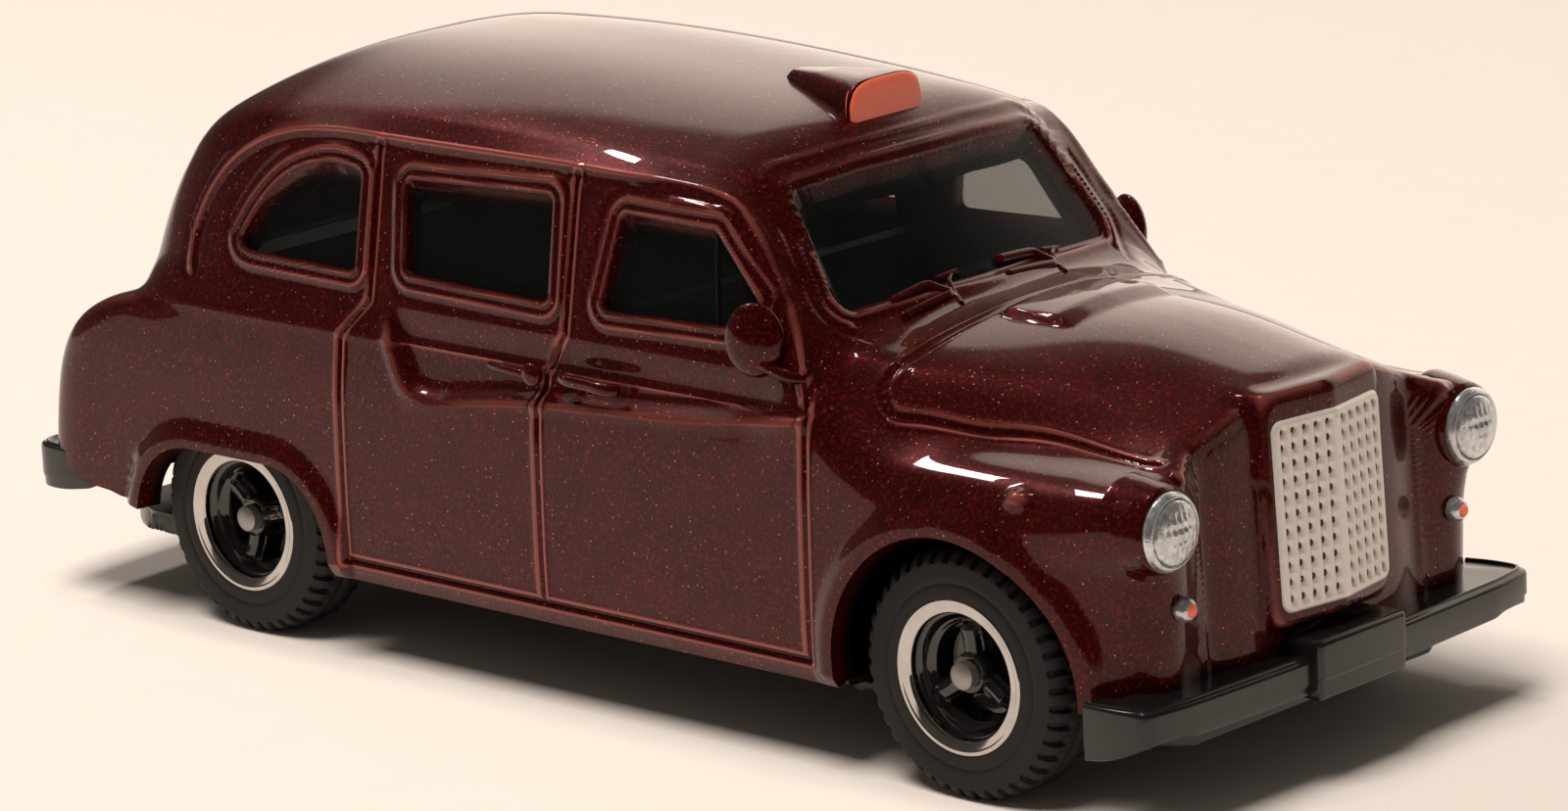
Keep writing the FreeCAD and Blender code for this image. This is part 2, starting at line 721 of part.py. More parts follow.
os.makedirs("parts", exist_ok=True)
for name, shape in nodes.items():
    box = shape.BoundBox
    corners = (box.XMin, box.XMax, box.YMin, box.YMax, box.ZMin, box.ZMax)
    print(name, "solids", len(shape.Solids), "valid", shape.isValid(), "volume %.1f" % shape.Volume,
          "x %.2f %.2f y %.2f %.2f z %.2f %.2f" % corners)
    shape.exportStep("parts/%s.step" % name)
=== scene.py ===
import json
import math

import bpy
import numpy as np
from mathutils import Matrix, Vector

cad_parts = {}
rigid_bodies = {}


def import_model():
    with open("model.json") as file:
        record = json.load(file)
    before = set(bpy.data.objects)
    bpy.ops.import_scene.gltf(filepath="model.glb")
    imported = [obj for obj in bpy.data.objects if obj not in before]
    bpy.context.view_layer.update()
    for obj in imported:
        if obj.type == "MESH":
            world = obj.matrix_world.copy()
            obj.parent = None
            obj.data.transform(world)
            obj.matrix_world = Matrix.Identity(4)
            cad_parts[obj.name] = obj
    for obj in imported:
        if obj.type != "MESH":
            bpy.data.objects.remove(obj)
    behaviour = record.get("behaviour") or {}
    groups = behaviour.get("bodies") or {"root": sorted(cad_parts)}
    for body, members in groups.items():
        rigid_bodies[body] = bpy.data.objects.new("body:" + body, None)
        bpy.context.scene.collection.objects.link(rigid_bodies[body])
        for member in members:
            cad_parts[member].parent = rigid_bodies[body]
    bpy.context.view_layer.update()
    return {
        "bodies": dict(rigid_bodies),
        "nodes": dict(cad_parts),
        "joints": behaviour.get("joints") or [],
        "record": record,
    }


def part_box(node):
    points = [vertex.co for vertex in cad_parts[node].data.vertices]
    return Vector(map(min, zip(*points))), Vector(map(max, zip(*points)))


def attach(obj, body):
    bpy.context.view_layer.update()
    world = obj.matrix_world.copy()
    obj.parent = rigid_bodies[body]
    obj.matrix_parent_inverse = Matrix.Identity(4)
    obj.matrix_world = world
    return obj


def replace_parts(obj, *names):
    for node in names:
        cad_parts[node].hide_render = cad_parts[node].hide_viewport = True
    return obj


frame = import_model()


def centreOf(node):
    # middle of a node's box in millimetres
    low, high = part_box(node)
    return [float(value) * 500 for value in low + high]


# Shapes are worked out in millimetres, x from half way between the axles, y to the left, z from the floor
frontAxle = centreOf("front_axle")
rearAxle = centreOf("rear_axle")
middle = (frontAxle[0] + rearAxle[0]) / 2
halfBase = (frontAxle[0] - rearAxle[0]) / 2
axleHeight = frontAxle[2]
print("frame: middle", round(middle, 2), "half wheelbase", round(halfBase, 2))


def ease(low, high, value):
    # smooth step from 0 at low to 1 at high: t * t * (3 - 2 * t)
    t = np.clip((value - low) / (high - low), 0, 1)
    return t * t * (3 - 2 * t)


def bump(distance, width):
    # bell of height 1 that is gone at width: (1 - (distance / width) squared) cubed
    return np.clip(1 - (distance / width) ** 2, 0, 1) ** 3


def smoothMax(first, second, blend):
    # the larger of two values, rounded over where they differ by less than blend
    overlap = np.maximum(blend - np.abs(first - second), 0) / blend
    return np.maximum(first, second) + overlap ** 3 * blend / 6


def smoothMin(first, second, blend):
    # the smaller of two values, rounded over in the same way
    return -smoothMax(-first, -second, blend)


def splineWeights(knots, value):
    # weight of every knot in a natural cubic spline, straight beyond its ends
    knots = np.asarray(knots, float)
    count = len(knots)
    gaps = np.diff(knots)
    left = np.eye(count)
    right = np.zeros((count, count))
    for k in range(1, count - 1):
        left[k, k - 1:k + 2] = gaps[k - 1], 2 * (gaps[k - 1] + gaps[k]), gaps[k]
        right[k, k - 1:k + 2] = 6 / gaps[k - 1], -6 / gaps[k - 1] - 6 / gaps[k], 6 / gaps[k]
    bend = np.linalg.solve(left, right)
    held = np.clip(value, knots[0], knots[-1])
    index = np.clip(np.searchsorted(knots, held) - 1, 0, count - 2)
    gap = gaps[index]
    t = (held - knots[index]) / gap
    eye = np.eye(count)
    low, high = 1 - t, t
    weights = (low[..., None] * eye[index] + high[..., None] * eye[index + 1]
               + ((low ** 3 - low) * gap ** 2 / 6)[..., None] * bend[index]
               + ((high ** 3 - high) * gap ** 2 / 6)[..., None] * bend[index + 1])
    slope = (eye[index + 1] - eye[index]) / gap[..., None] \
        + ((1 - 3 * low ** 2) * gap / 6)[..., None] * bend[index] \
        + ((3 * high ** 2 - 1) * gap / 6)[..., None] * bend[index + 1]
    return weights + (value - held)[..., None] * slope


def curve(points, value):
    # height of a smooth curve through (position, height) pairs
    positions, heights = zip(*points)
    return splineWeights(positions, np.asarray(value, float)) @ np.array(heights)


def spread(low, high, spacing, marks=()):
    # positions from low to high, spacing apart, closer round every (place, reach, finer spacing)
    fine = np.linspace(low, high, 6000)
    density = np.full(len(fine), 1 / spacing)
    for place, reach, near in marks:
        density = np.maximum(density, np.where(np.abs(fine - place) < reach, 1 / near, 0))
    kernel = np.hanning(61)
    padded = np.pad(density, 30, mode="edge")
    density = np.convolve(padded, kernel / kernel.sum(), mode="valid")
    total = np.concatenate([[0], np.cumsum((density[1:] + density[:-1]) / 2 * np.diff(fine))])
    return np.interp(np.linspace(0, total[-1], int(round(total[-1])) + 1), total, fine)


def pathDistance(path, p, q):
    # distance from points (p, q) to an open line of straight runs
    best = np.full(np.shape(p), 1e9)
    for (p0, q0), (p1, q1) in zip(path[:-1], path[1:]):
        dp, dq = p1 - p0, q1 - q0
        t = np.clip(((p - p0) * dp + (q - q0) * dq) / (dp * dp + dq * dq), 0, 1)
        best = np.minimum(best, np.hypot(p - p0 - t * dp, q - q0 - t * dq))
    return best


def outlineDistance(path, radius, p, q):
    # distance outside a closed outline, negative inside, its corners rounded by radius
    away = pathDistance(path + path[:1], p, q)
    crossings = np.zeros(np.shape(p), bool)
    for (p0, q0), (p1, q1) in zip(path, path[1:] + path[:1]):
        spans = (q0 > q) != (q1 > q)
        rise = q1 - q0 if q1 != q0 else 1e-9
        crossings ^= spans & (p < p0 + (q - q0) / rise * (p1 - p0))
    return np.where(crossings, -away, away) - radius


def smoothPath(points, count=12):
    # points along a smooth line through the given ones
    points = np.array(points, float)
    steps = np.concatenate([[0], np.cumsum(np.linalg.norm(np.diff(points, axis=0), axis=1))])
    fine = np.linspace(0, steps[-1], count * (len(points) - 1) + 1)
    return [tuple(row) for row in splineWeights(steps, fine) @ points]


def unlike(triangles):
    # the triangles whose three corners are different points
    return triangles[(triangles != np.roll(triangles, 1, axis=1)).all(1)]


def gridFaces(rows, columns):
    # the four corners of every cell in a grid of points
    index = np.arange(rows * columns).reshape(rows, columns)
    return np.stack([index[:-1, :-1], index[1:, :-1], index[1:, 1:], index[:-1, 1:]], -1).reshape(-1, 4)


def weld(points, faces):
    # joins points that lie together, which closes seams and poles, and drops faces with no area
    _, first, inverse = np.unique(np.round(points, 5), axis=0, return_index=True, return_inverse=True)
    faces = inverse.ravel()[faces]
    joined = faces == np.roll(faces, -1, axis=1)
    triangles = [np.delete(faces[joined[:, side]], gone, axis=1) for side, gone in enumerate((1, 2, 3, 3))]
    return points[first], [faces[~joined.any(1)], unlike(np.concatenate(triangles))]


def enclosed(points, groups):
    # volume inside closed faces, less than nought if they are inside out
    total = 0.0
    for group in groups:
        for k in range(2, group.shape[1]):
            first, second, third = (points[group[:, i]] for i in (0, k - 1, k))
            total += (first * np.cross(second, third)).sum() / 6
    return total


def addPiece(name, points, groups, finish, body="root", normals=None, sharp=None, values=None):
    # one object from points in millimetres and arrays of faces with three or four corners
    mesh = bpy.data.meshes.new(name)
    places = (np.asarray(points, float) + [middle, 0, 0]) * 0.001
    mesh.vertices.add(len(places))
    mesh.vertices.foreach_set("co", places.ravel())
    groups = [group for group in groups if len(group)]
    if normals is None and enclosed(places, groups) < 0:
        groups = [group[:, ::-1] for group in groups]
    corners = np.concatenate([group.ravel() for group in groups])
    sides = np.concatenate([np.full(len(group), group.shape[1]) for group in groups])
    mesh.loops.add(len(corners))
    mesh.loops.foreach_set("vertex_index", corners.astype(np.int32))
    mesh.polygons.add(len(sides))
    mesh.polygons.foreach_set("loop_start", np.concatenate([[0], np.cumsum(sides)[:-1]]).astype(np.int32))
    mesh.polygons.foreach_set("use_smooth", np.ones(len(sides), bool))
    mesh.update(calc_edges=True)
    for key, column in (values or {}).items():
        mesh.attributes.new(key, "FLOAT", "POINT").data.foreach_set("value", column.astype(np.float32))
    if sharp is not None:
        mesh.set_sharp_from_angle(angle=math.radians(sharp))
    if normals is not None:
        mesh.normals_split_custom_set(normals.tolist())
    piece = bpy.data.objects.new(name, mesh)
    bpy.context.scene.collection.objects.link(piece)
    mesh.materials.append(finish.material)
    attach(piece, body)
    return piece


def addGrid(name, points, finish, body="root", sharp=35):
    # one object from a grid of points, its seams and poles closed
    places, groups = weld(points.reshape(-1, 3), gridFaces(*points.shape[:2]))
    return addPiece(name, places, groups, finish, body, sharp=sharp)


class Value:
    # wraps a socket, so that maths between sockets is written as an expression
    def __init__(self, shader, socket):
        self.shader = shader
        self.socket = socket

    def combine(self, operation, first, second):
        return self.shader.node("ShaderNodeMath", {"operation": operation}, {0: first, 1: second})

    def __add__(self, other):
        return self.combine("ADD", self, other)

    def __radd__(self, other):
        return self.combine("ADD", other, self)

    def __sub__(self, other):
        return self.combine("SUBTRACT", self, other)

    def __rsub__(self, other):
        return self.combine("SUBTRACT", other, self)

    def __mul__(self, other):
        return self.combine("MULTIPLY", self, other)

    def __rmul__(self, other):
        return self.combine("MULTIPLY", other, self)

    def __gt__(self, other):
        return self.combine("GREATER_THAN", self, other)

    def __lt__(self, other):
        return self.combine("LESS_THAN", self, other)

    def __pow__(self, other):
        return self.combine("POWER", self, other)


class Nodes:
    # makes and joins the nodes of one tree
    def __init__(self, tree):
        self.tree = tree

    def node(self, kind, settings=None, inputs=None, output=0):
        made = self.tree.nodes.new(kind)
        for key, setting in (settings or {}).items():
            if key == "stops":
                ramp = made.color_ramp.elements
                while len(ramp) < len(setting):
                    ramp.new(0.5)
                for stop, (place, shade) in zip(ramp, setting):
                    stop.position = place
                    stop.color = (shade, shade, shade, 1)
            else:
                setattr(made, key, setting)
        for key, value in (inputs or {}).items():
            self.feed(made.inputs[key], value)
        return Value(self, made.outputs[output])

    def feed(self, socket, value):
        # joins a socket to a value, or sets it
        if isinstance(value, Value):
            self.tree.links.new(value.socket, socket)
        elif isinstance(value, tuple) and len(value) == 3 and socket.type == "RGBA":
            socket.default_value = (*value, 1)
        else:
            socket.default_value = value

    def fade(self, value, low, high, start=0.0, end=1.0):
        # smooth step from start at low to end at high
        return self.node("ShaderNodeMapRange", {"interpolation_type": "SMOOTHSTEP"}, {
            0: value, 1: low, 2: high, 3: start, 4: end})

    def larger(self, first, second):
        # the larger of two values
        return self.node("ShaderNodeMath", {"operation": "MAXIMUM"}, {0: first, 1: second})

    def dot(self, first, second):
        # how far the first vector reaches along the second
        return self.node("ShaderNodeVectorMath", {"operation": "DOT_PRODUCT"}, {0: first, 1: second}, "Value")

    def mix(self, factor, first, second):
        # colour from first at 0 to second at 1
        return self.node("ShaderNodeMix", {"data_type": "RGBA"}, {0: factor, 6: first, 7: second}, 2)


class Shader(Nodes):
    # one material, with the name of a slot that it keeps but does not use
    def __init__(self, name, slot=None, **surface):
        self.slot = slot
        self.material = bpy.data.materials.new(name)
        self.material.use_nodes = True
        super().__init__(self.material.node_tree)
        self.surface = self.tree.nodes["Principled BSDF"]
        self.output = self.tree.nodes["Material Output"]
        self.finish(**surface)

    def finish(self, **surface):
        # sets or joins inputs of the surface by name
        for key, value in surface.items():
            self.feed(self.surface.inputs[key.replace("_", " ")], value)

    def place(self):
        # object coordinates in millimetres
        where = self.node("ShaderNodeTexCoord", output="Object")
        return self.node("ShaderNodeVectorMath", {"operation": "SCALE"}, {0: where, "Scale": 1000.0})

    def noise(self, where, scale, detail=2.0):
        return self.node("ShaderNodeTexNoise", {}, {"Vector": where, "Scale": scale, "Detail": detail})

    def ramp(self, value, *stops):
        # grey by value, through (place, shade) stops
        return self.node("ShaderNodeValToRGB", {"stops": stops}, {"Fac": value})

    def rough(self, height, strength, distance):
        # height drives a bump that feeds the normal
        self.finish(Normal=self.node("ShaderNodeBump", {}, {
            "Height": height, "Strength": strength, "Distance": distance}))


camera = {
    "place": (191.309, -204.537, 82.434), "towards": (-0.6613, 0.7085, -0.2464), "roll": -0.043,
    "focal": 6384.107, "centre": (792.02, 420.65), "image": (1600, 828), "sensor": 36,
}
sight = Vector(camera["towards"]).normalized()
flat = sight.cross(Vector((0, 0, 1))).normalized()
upright = flat.cross(sight)
roll = camera["roll"]
rightward = flat * math.cos(roll) + upright * math.sin(roll)
upward = -flat * math.sin(roll) + upright * math.cos(roll)
lens = bpy.data.cameras.new("camera")
lens.sensor_width = camera["sensor"]
lens.lens = camera["focal"] * camera["sensor"] / camera["image"][0]
lens.shift_x = (camera["image"][0] / 2 - camera["centre"][0]) / camera["image"][0]
lens.shift_y = (camera["centre"][1] - camera["image"][1] / 2) / camera["image"][0]
lens.clip_start, lens.clip_end = 0.01, 10
eye = bpy.data.objects.new("camera", lens)
bpy.context.scene.collection.objects.link(eye)
eye.matrix_world = Matrix((
    (rightward.x, upward.x, -sight.x, (camera["place"][0] + middle) / 1000),
    (rightward.y, upward.y, -sight.y, camera["place"][1] / 1000),
    (rightward.z, upward.z, -sight.z, camera["place"][2] / 1000),
    (0, 0, 0, 1)))
bpy.context.scene.camera = eye
bpy.context.scene.view_settings.view_transform = "Standard"

studio = {
    # colours and strengths of the light, then where the bright backdrop and the paper end
    "backdrop": (0.98, 0.85, 0.74), "glossBackdrop": (1.60, 1.37, 1.16), "floor": (0.93, 0.82, 0.725),
    "fill": 0.13, "room": 0.05, "farRoom": 0.02, "paperTop": 0.665, "paperSide": -0.76,
    "floorSize": 3.0, "paperEdge": 0.075, "lampColour": (1.0, 0.965, 0.93),
    "lamps": [
        # name, place, aimed at, width, height, watts, seen in the gloss
        ("keyLamp", (0.036, -0.36, 1.03), (0, 0, 0.0), 0.47, 0.47, 10.4, False),
        ("rearLamp", (-0.345, 0.0, 0.49), (0, 0, 0.01), 0.125, 0.045, 0.78, True),
        ("topLamp", (-0.09, 0.02, 0.58), (0, 0, 0.01), 0.065, 0.030, 0.24, True),
    ],
}
world = bpy.data.worlds.new("studio")
bpy.context.scene.world = world
world.use_nodes = True
sky = Nodes(world.node_tree)
sky.tree.nodes.clear()
# The camera and glass see the backdrop, gloss sees it behind the car only, and a plain fill lights the rest
heading = sky.node("ShaderNodeTexCoord", output="Generated")
along = sky.node("ShaderNodeSeparateXYZ", {}, {0: heading}, "X")
upwards = sky.node("ShaderNodeSeparateXYZ", {}, {0: heading}, "Z")
light = sky.fade(upwards, studio["paperTop"] - 0.03, studio["paperTop"] + 0.03, 1.0, 0.0) \
    * sky.fade(sky.dot(heading, (-0.68, 0.73, 0.0)), 0.15, 0.55) \
    * sky.fade(along, studio["paperSide"] - 0.05, studio["paperSide"] + 0.05)
light = sky.larger(light, sky.fade(along, -0.7, 0.1, studio["room"], studio["farRoom"]))
glossColour = sky.mix(light, (0, 0, 0), studio["glossBackdrop"])
fill = tuple(studio["fill"] * share for share in studio["lampColour"])
lit = sky.mix(sky.node("ShaderNodeLightPath", output="Is Glossy Ray"), fill, glossColour)
seen = sky.larger(sky.node("ShaderNodeLightPath", output="Is Camera Ray"),
                  sky.node("ShaderNodeLightPath", output="Is Transmission Ray"))
backdrop = sky.node("ShaderNodeBackground", {}, {"Color": sky.mix(seen, lit, studio["backdrop"]), "Strength": 1.0})
sky.feed(sky.tree.nodes.new("ShaderNodeOutputWorld").inputs["Surface"], backdrop)

for name, place, target, width, height, watts, glossy in studio["lamps"]:
    lamp = bpy.data.lights.new(name, "AREA")
    lamp.shape = "RECTANGLE"
    lamp.size, lamp.size_y = width, height
    lamp.energy = watts
    lamp.color = studio["lampColour"]
    lampObject = bpy.data.objects.new(name, lamp)
    bpy.context.scene.collection.objects.link(lampObject)
    lampObject.location = place
    lampObject.visible_glossy = glossy
    lampObject.rotation_euler = (Vector(target) - Vector(place)).to_track_quat("-Z", "Y").to_euler()

paper = Shader("paper", Roughness=0.9, Specular_IOR_Level=0.15)
grain = paper.noise(paper.place(), 0.35, 4.0)
paper.finish(Base_Color=paper.mix(grain, tuple(0.97 * c for c in studio["floor"]), studio["floor"]))
paper.rough(paper.noise(paper.place(), 2.2, 3.0), 0.12, 0.0001)
# beyond the near edge of the paper the table is dark, which only the gloss shows
gloss = paper.node("ShaderNodeLightPath", output="Is Glossy Ray")
where = paper.node("ShaderNodeTexCoord", output="Object")
dark = paper.fade(paper.dot(where, (0.55, -0.84, 0)), studio["paperEdge"] * 0.85, studio["paperEdge"] * 1.15)
table = paper.node("ShaderNodeEmission", {}, {"Color": (0.012, 0.010, 0.009), "Strength": 1.0})
paper.feed(paper.output.inputs["Surface"], paper.node("ShaderNodeMixShader", {}, {
    0: gloss * dark, 1: Value(paper, paper.surface.outputs[0]), 2: table}))
half = studio["floorSize"]
floorMesh = bpy.data.meshes.new("floor")
floorMesh.from_pydata([(-half, -half, 0), (half, -half, 0), (half, half, 0), (-half, half, 0)], [],
                      [(0, 1, 2, 3)])
floor = bpy.data.objects.new("floor", floorMesh)
bpy.context.scene.collection.objects.link(floor)
floorMesh.materials.append(paper.material)
print("camera, lamps and floor are set")


# the casting, with a for the distance from the middle plane
body = {
    # half width by height: doors and rear wings
    "side": [(3.5, 13.36), (5.2, 13.5), (8, 13.55), (11, 13.5), (13, 13.42), (14.6, 13.24), (15.9, 13.03),
             (17.3, 12.75), (19, 12.4)],
    # cabin: its half width at a height and how it leans in, then the swelling at its foot
    "cabinSide": (12.5, 17.4, 0.166), "plinth": 0.2,
    # height of the roof along its middle, and how far it drops to the gutters
    "crown": [(-32, 26.9), (-24, 27.55), (-20, 27.75), (-16, 27.92), (-12, 28.0), (-4.8, 27.82), (0, 27.5),
              (5, 26.98), (8, 26.4), (10.4, 25.6), (14, 23.9)],
    "crownDrop": [(-30, 2.6), (-16, 2.8), (0, 2.45), (6.5, 2.15), (9, 1.9), (14, 1.6)],
    # windscreen: x at a height, lean, and bow over the width
    "screen": (14.03, 19.14, 0.745, 0.009),
    # x by height of the back of the cabin, the rear wings and the boot
    "back": [(8, -31.4), (17.5, -30.15), (21, -28.95), (24.4, -26.6), (28, -22.8)],
    "rearWing": [(3, -35.75), (8, -35.7), (10.1, -35.45), (12.9, -34.6), (14.35, -33.35), (15.5, -31.4),
                 (17, -28.5)],
    "boot": [(5, -36.3), (7, -36.3), (10, -36.1), (12, -35.75), (14, -35.05), (14.9, -34.35), (16.1, -33.1),
             (17.1, -32.1), (19, -30)],
    "bootWidth": 8.3, "bootTop": 17.45,
    # nose: x at a height and lean; grille shell: half width, low, high and x
    "nose": (31.8, 10.5, 0.058), "shell": (4.15, 7.0, 17.35, 32.62),
    # front panel by distance from the middle: it falls back from the shell to a valley beside the wing
    "noseLine": [(0, 31.9), (4.15, 31.85), (6.0, 31.62), (7.6, 31.42), (8.5, 31.72), (9.4, 31.98), (10.6, 32.05),
                 (12.4, 31.95), (14, 31.8)],
    # how far the front wing draws in at its front end, by height
    "wingTaper": [(4.5, 2.7), (9, 2.65), (10.8, 2.4), (12.0, 1.35), (13, 1.05), (14.6, 1.0), (16, 1.0)],
    # thickness of the metal
    "wall": 1.0,
}
frontTopA = (0, 2, 4, 6, 7.5, 8.8, 10, 11.5, 13.5)
frontTop = [
    # x, then the height of the bonnet and the front wing at each distance from the middle
    (12, 19.20, 19.15, 19.00, 18.80, 18.60, 18.40, 18.10, 17.30, 16.10),
    (14.5, 19.15, 19.10, 18.95, 18.72, 18.50, 18.28, 17.95, 16.70, 15.40),
    (17, 19.10, 19.05, 18.85, 18.58, 18.32, 18.00, 17.45, 15.90, 14.90),
    (19.5, 19.15, 19.05, 18.78, 18.35, 17.98, 17.45, 16.45, 15.20, 14.60),
    (22, 19.10, 19.00, 18.68, 18.12, 17.55, 16.70, 15.55, 14.95, 14.45),
    (25, 18.82, 18.72, 18.36, 17.68, 16.90, 15.85, 15.15, 14.85, 14.35),
    (28, 18.32, 18.22, 17.83, 17.02, 16.22, 15.35, 15.00, 14.78, 14.25),
    (31.5, 17.65, 17.55, 17.12, 16.36, 15.75, 15.20, 14.95, 14.68, 14.05),
    (34, 17.10, 17.00, 16.58, 15.90, 15.40, 15.00, 14.75, 14.45, 13.80),
]
frontTopX = [row[0] for row in frontTop]
frontTopZ = np.array([row[1:] for row in frontTop])


def bonnetHeight(x, a):
    # height over x and a: cubic splines both ways through the table
    return ((splineWeights(frontTopX, x) @ frontTopZ) * splineWeights(frontTopA, a)).sum(-1)


def bodyValue(x, a, z):
    # below nought inside the casting: the lower body, cabin, boot and grille shell, rounded into each other
    taper = np.interp(z, *zip(*body["wingTaper"])) * (np.clip(x - 23, 0, 11) / 9) ** 2
    side = a - curve(body["side"], z) + taper
    top = z - np.where(x > 11, bonnetHeight(np.clip(x, 11, 34), a), 0)
    topFront = ease(11, 14, x)
    top = top * topFront + (z - 15.85) * (1 - topFront)
    lower = smoothMax(side, top, 1.1 + 1.9 * ease(13, 19, x) - 1.2 * ease(28, 31.5, x))
    noseX, noseZ, noseLean = body["nose"]
    front = x - curve(body["noseLine"], a) + (noseLean - 0.085 * ease(7.3, 9.2, a)) * (z - noseZ)
    rear = curve(body["rearWing"], z) - x
    lower = smoothMax(lower, front, 1.6 + 0.8 * ease(11.5, 9.5, z))
    lower = smoothMax(lower, rear, 3.2)
    width, level, lean = body["cabinSide"]
    flare = body["plinth"] * np.logaddexp(0, (17.3 - np.maximum(z, 15.8)) * 6) / 6
    flare = flare - 0.35 * np.maximum(15.8 - z, 0)
    cabinSide = a - (width - lean * (np.maximum(z, 15.8) - level)) - flare
    roof = z - curve(body["crown"], x) + curve(body["crownDrop"], x) * (a / 11.3) ** 2.7
    screenX, screenZ, screenLean, screenBow = body["screen"]
    screen = (x - screenX + screenLean * (z - screenZ) + screenBow * a ** 2) * 0.8
    back = curve(body["back"], z) - x - flare
    cabin = smoothMax(cabinSide, roof, 1.6)
    cabin = smoothMax(cabin, back, 7.5)
    cabin = smoothMax(cabin, screen, 2.2)
    whole = smoothMin(lower, cabin, 0.7 + 1.3 * ease(10, 13, x))
    boot = smoothMax(a - body["bootWidth"], z - body["bootTop"], 1.6)
    boot = np.maximum(smoothMax(boot, curve(body["boot"], z) - x + 0.012 * a ** 2, 2.0), x + 15)
    whole = smoothMin(whole, boot, 1.0)
    shellWidth, shellLow, shellHigh, shellX = body["shell"]
    shell = smoothMax(smoothMax(a - shellWidth, z - shellHigh, 1.2), shellLow - z, 1.2)
    shell = smoothMax(shell, x - shellX + noseLean * (z - noseZ) - 0.15 * (3.6 - a), 0.9)
    shell = np.maximum(shell, 29 - x)
    return smoothMin(whole, shell, 0.5)


# Rays fan out from a line inside the car: straight out along it, and turning to the ends beyond it
fan = {"front": 26.0, "rear": -27.0, "noseX": 32.3, "tailX": -35.6, "reach": 13.0,
       "height": 8.0, "frontHeight": 5.6, "rearHeight": 4.6, "sill": -18.2, "endLow": -4.0}
doorLines = {"rear": (-14.6, -13.15), "middle": (-1.8, -0.6), "front": (14.4, 13.4)}
marks = [(line[0], 0.55, 0.075) for line in doorLines.values()]
columnsX = spread(fan["tailX"], fan["noseX"], 0.24, [(-5, 22.5, 0.17), (18, 3.5, 0.17)] + marks)
rearCap = spread(0, fan["reach"], 0.34)[:-1]
frontCap = spread(0, fan["reach"], 0.22)[::-1][1:]
targetX = np.concatenate([np.full(len(rearCap), fan["tailX"]), columnsX, np.full(len(frontCap), fan["noseX"])])
targetR = np.concatenate([rearCap, np.full(len(columnsX), fan["reach"]), frontCap])
rowsSide = spread(3.55, 25.3, 0.34, [(5.05, 0.5, 0.11), (15.6, 2.2, 0.15), (21, 3.9, 0.145),
                                     (25.05, 0.6, 0.12)])
rowsTop = spread(0, 11.25, 0.42)[::-1][1:]
rowZ = np.concatenate([rowsSide, np.full(len(rowsTop), 26.2)])
rowA = np.concatenate([np.interp(rowsSide, [3.55, 13, 17.3, 25.3], [13.4, 13.4, 12.5, 11.25]), rowsTop])
rowAngle = np.degrees(np.arctan2(rowZ - fan["height"], rowA))
rowAngle[-1] = 90
print("casting grid", len(targetX), "by", len(rowAngle))


def halved(passes, low, high, turns):
    # the place from low to high where passes turns false, by halving
    for turn in range(turns):
        halfway = (low + high) / 2
        inside = passes(halfway)
        low, high = np.where(inside, halfway, low), np.where(inside, high, halfway)
    return low


def castRays(level):
    # where every ray leaves the shape whose value is level
    startX = np.clip(targetX, fan["rear"], fan["front"])[:, None]
    tilt = np.arctan2(targetX - startX[:, 0], targetR)[:, None]
    startZ = fan["height"] + (fan["frontHeight"] - fan["height"]) * ease(17, fan["front"], startX) \
        + (fan["rearHeight"] - fan["height"]) * ease(-17, fan["rear"], startX)
    low = fan["sill"] + (fan["endLow"] - fan["sill"]) * np.maximum(
        ease(20, 31, targetX), ease(-24, -34, targetX))[:, None]
    angle = np.radians(90 - (90 - rowAngle[None]) * (90 - low) / (90 - rowAngle[0]))
    # the stations bend with the door lines where these step in at the waist
    stepped = ease(15.7, 17.3, rowZ)[None]
    kink = curve([(-27, 0), (-21, 0.5), (-14.6, 1.45), (-1.8, 1.2), (7, 0.1), (14.4, -1.0), (20, 0), (26, 0)],
                 startX)
    startX = startX + np.where(np.abs(targetX[:, None]) < 27, kink * stepped, 0)
    along = np.sin(tilt) + 0 * angle
    out = np.cos(tilt) * np.cos(angle)
    up = np.cos(tilt) * np.sin(angle)
    away = halved(lambda away: bodyValue(startX + away * along, away * out, startZ + away * up) < level,
                  np.full(angle.shape, 1.0), np.full(angle.shape, 40.0), 26)
    points = np.stack([startX + away * along, away * out, startZ + away * up], -1)
    points[:, -1, 1] = 0
    return points


def unit(vectors):
    # the same directions with length 1
    return vectors / np.maximum(np.linalg.norm(vectors, axis=-1, keepdims=True), 1e-9)


def gridNormals(points):
    # cross product of the differences both ways, by area, turned outward
    normals = unit(np.cross(np.gradient(points, axis=1), np.gradient(points, axis=0)))
    normals[:, -1, 1] = 0
    return unit(normals)


base = castRays(0.0)
inner = castRays(-body["wall"])
baseNormals = gridNormals(base)
outwards = (baseNormals * (base - [0, 0, 9])).sum(-1)
print("share of normals outward", round(float((outwards > 0).mean()), 3))


# openings of the casting, as x and z seen from the side
windows = {
    "quarter": smoothPath([(-14.5, 22.88), (-15.7, 23.02), (-17.35, 22.77), (-18.85, 22.13), (-20.0, 21.2),
                           (-21.1, 19.85), (-21.5, 19.2)], 4) + [(-21.1, 19.1), (-14.55, 18.98)],
    "rearDoor": [(-10.55, 19.25), (-2.15, 19.08), (-2.2, 23.1), (-10.75, 22.8)],
    "frontDoor": [(1.95, 19.15), (9.9, 19.4), (10.4, 20.15), (9.1, 21.5), (7.95, 22.68), (2.8, 22.79)],
}
windowRadius = 0.35
# front and rear screens as y and z seen from the ends
screenLine = [(-8.45, 20.15), (-4.5, 20.3), (4.5, 20.3), (8.45, 20.15), (7.75, 23.75), (4, 24.0), (-4, 24.0),
              (-7.75, 23.75)]
screenRadius = 0.62
rearScreenLine = [(-5.6, 19.9), (5.6, 19.9), (5.2, 22.4), (-5.2, 22.4)]
rearScreenRadius = 1.1


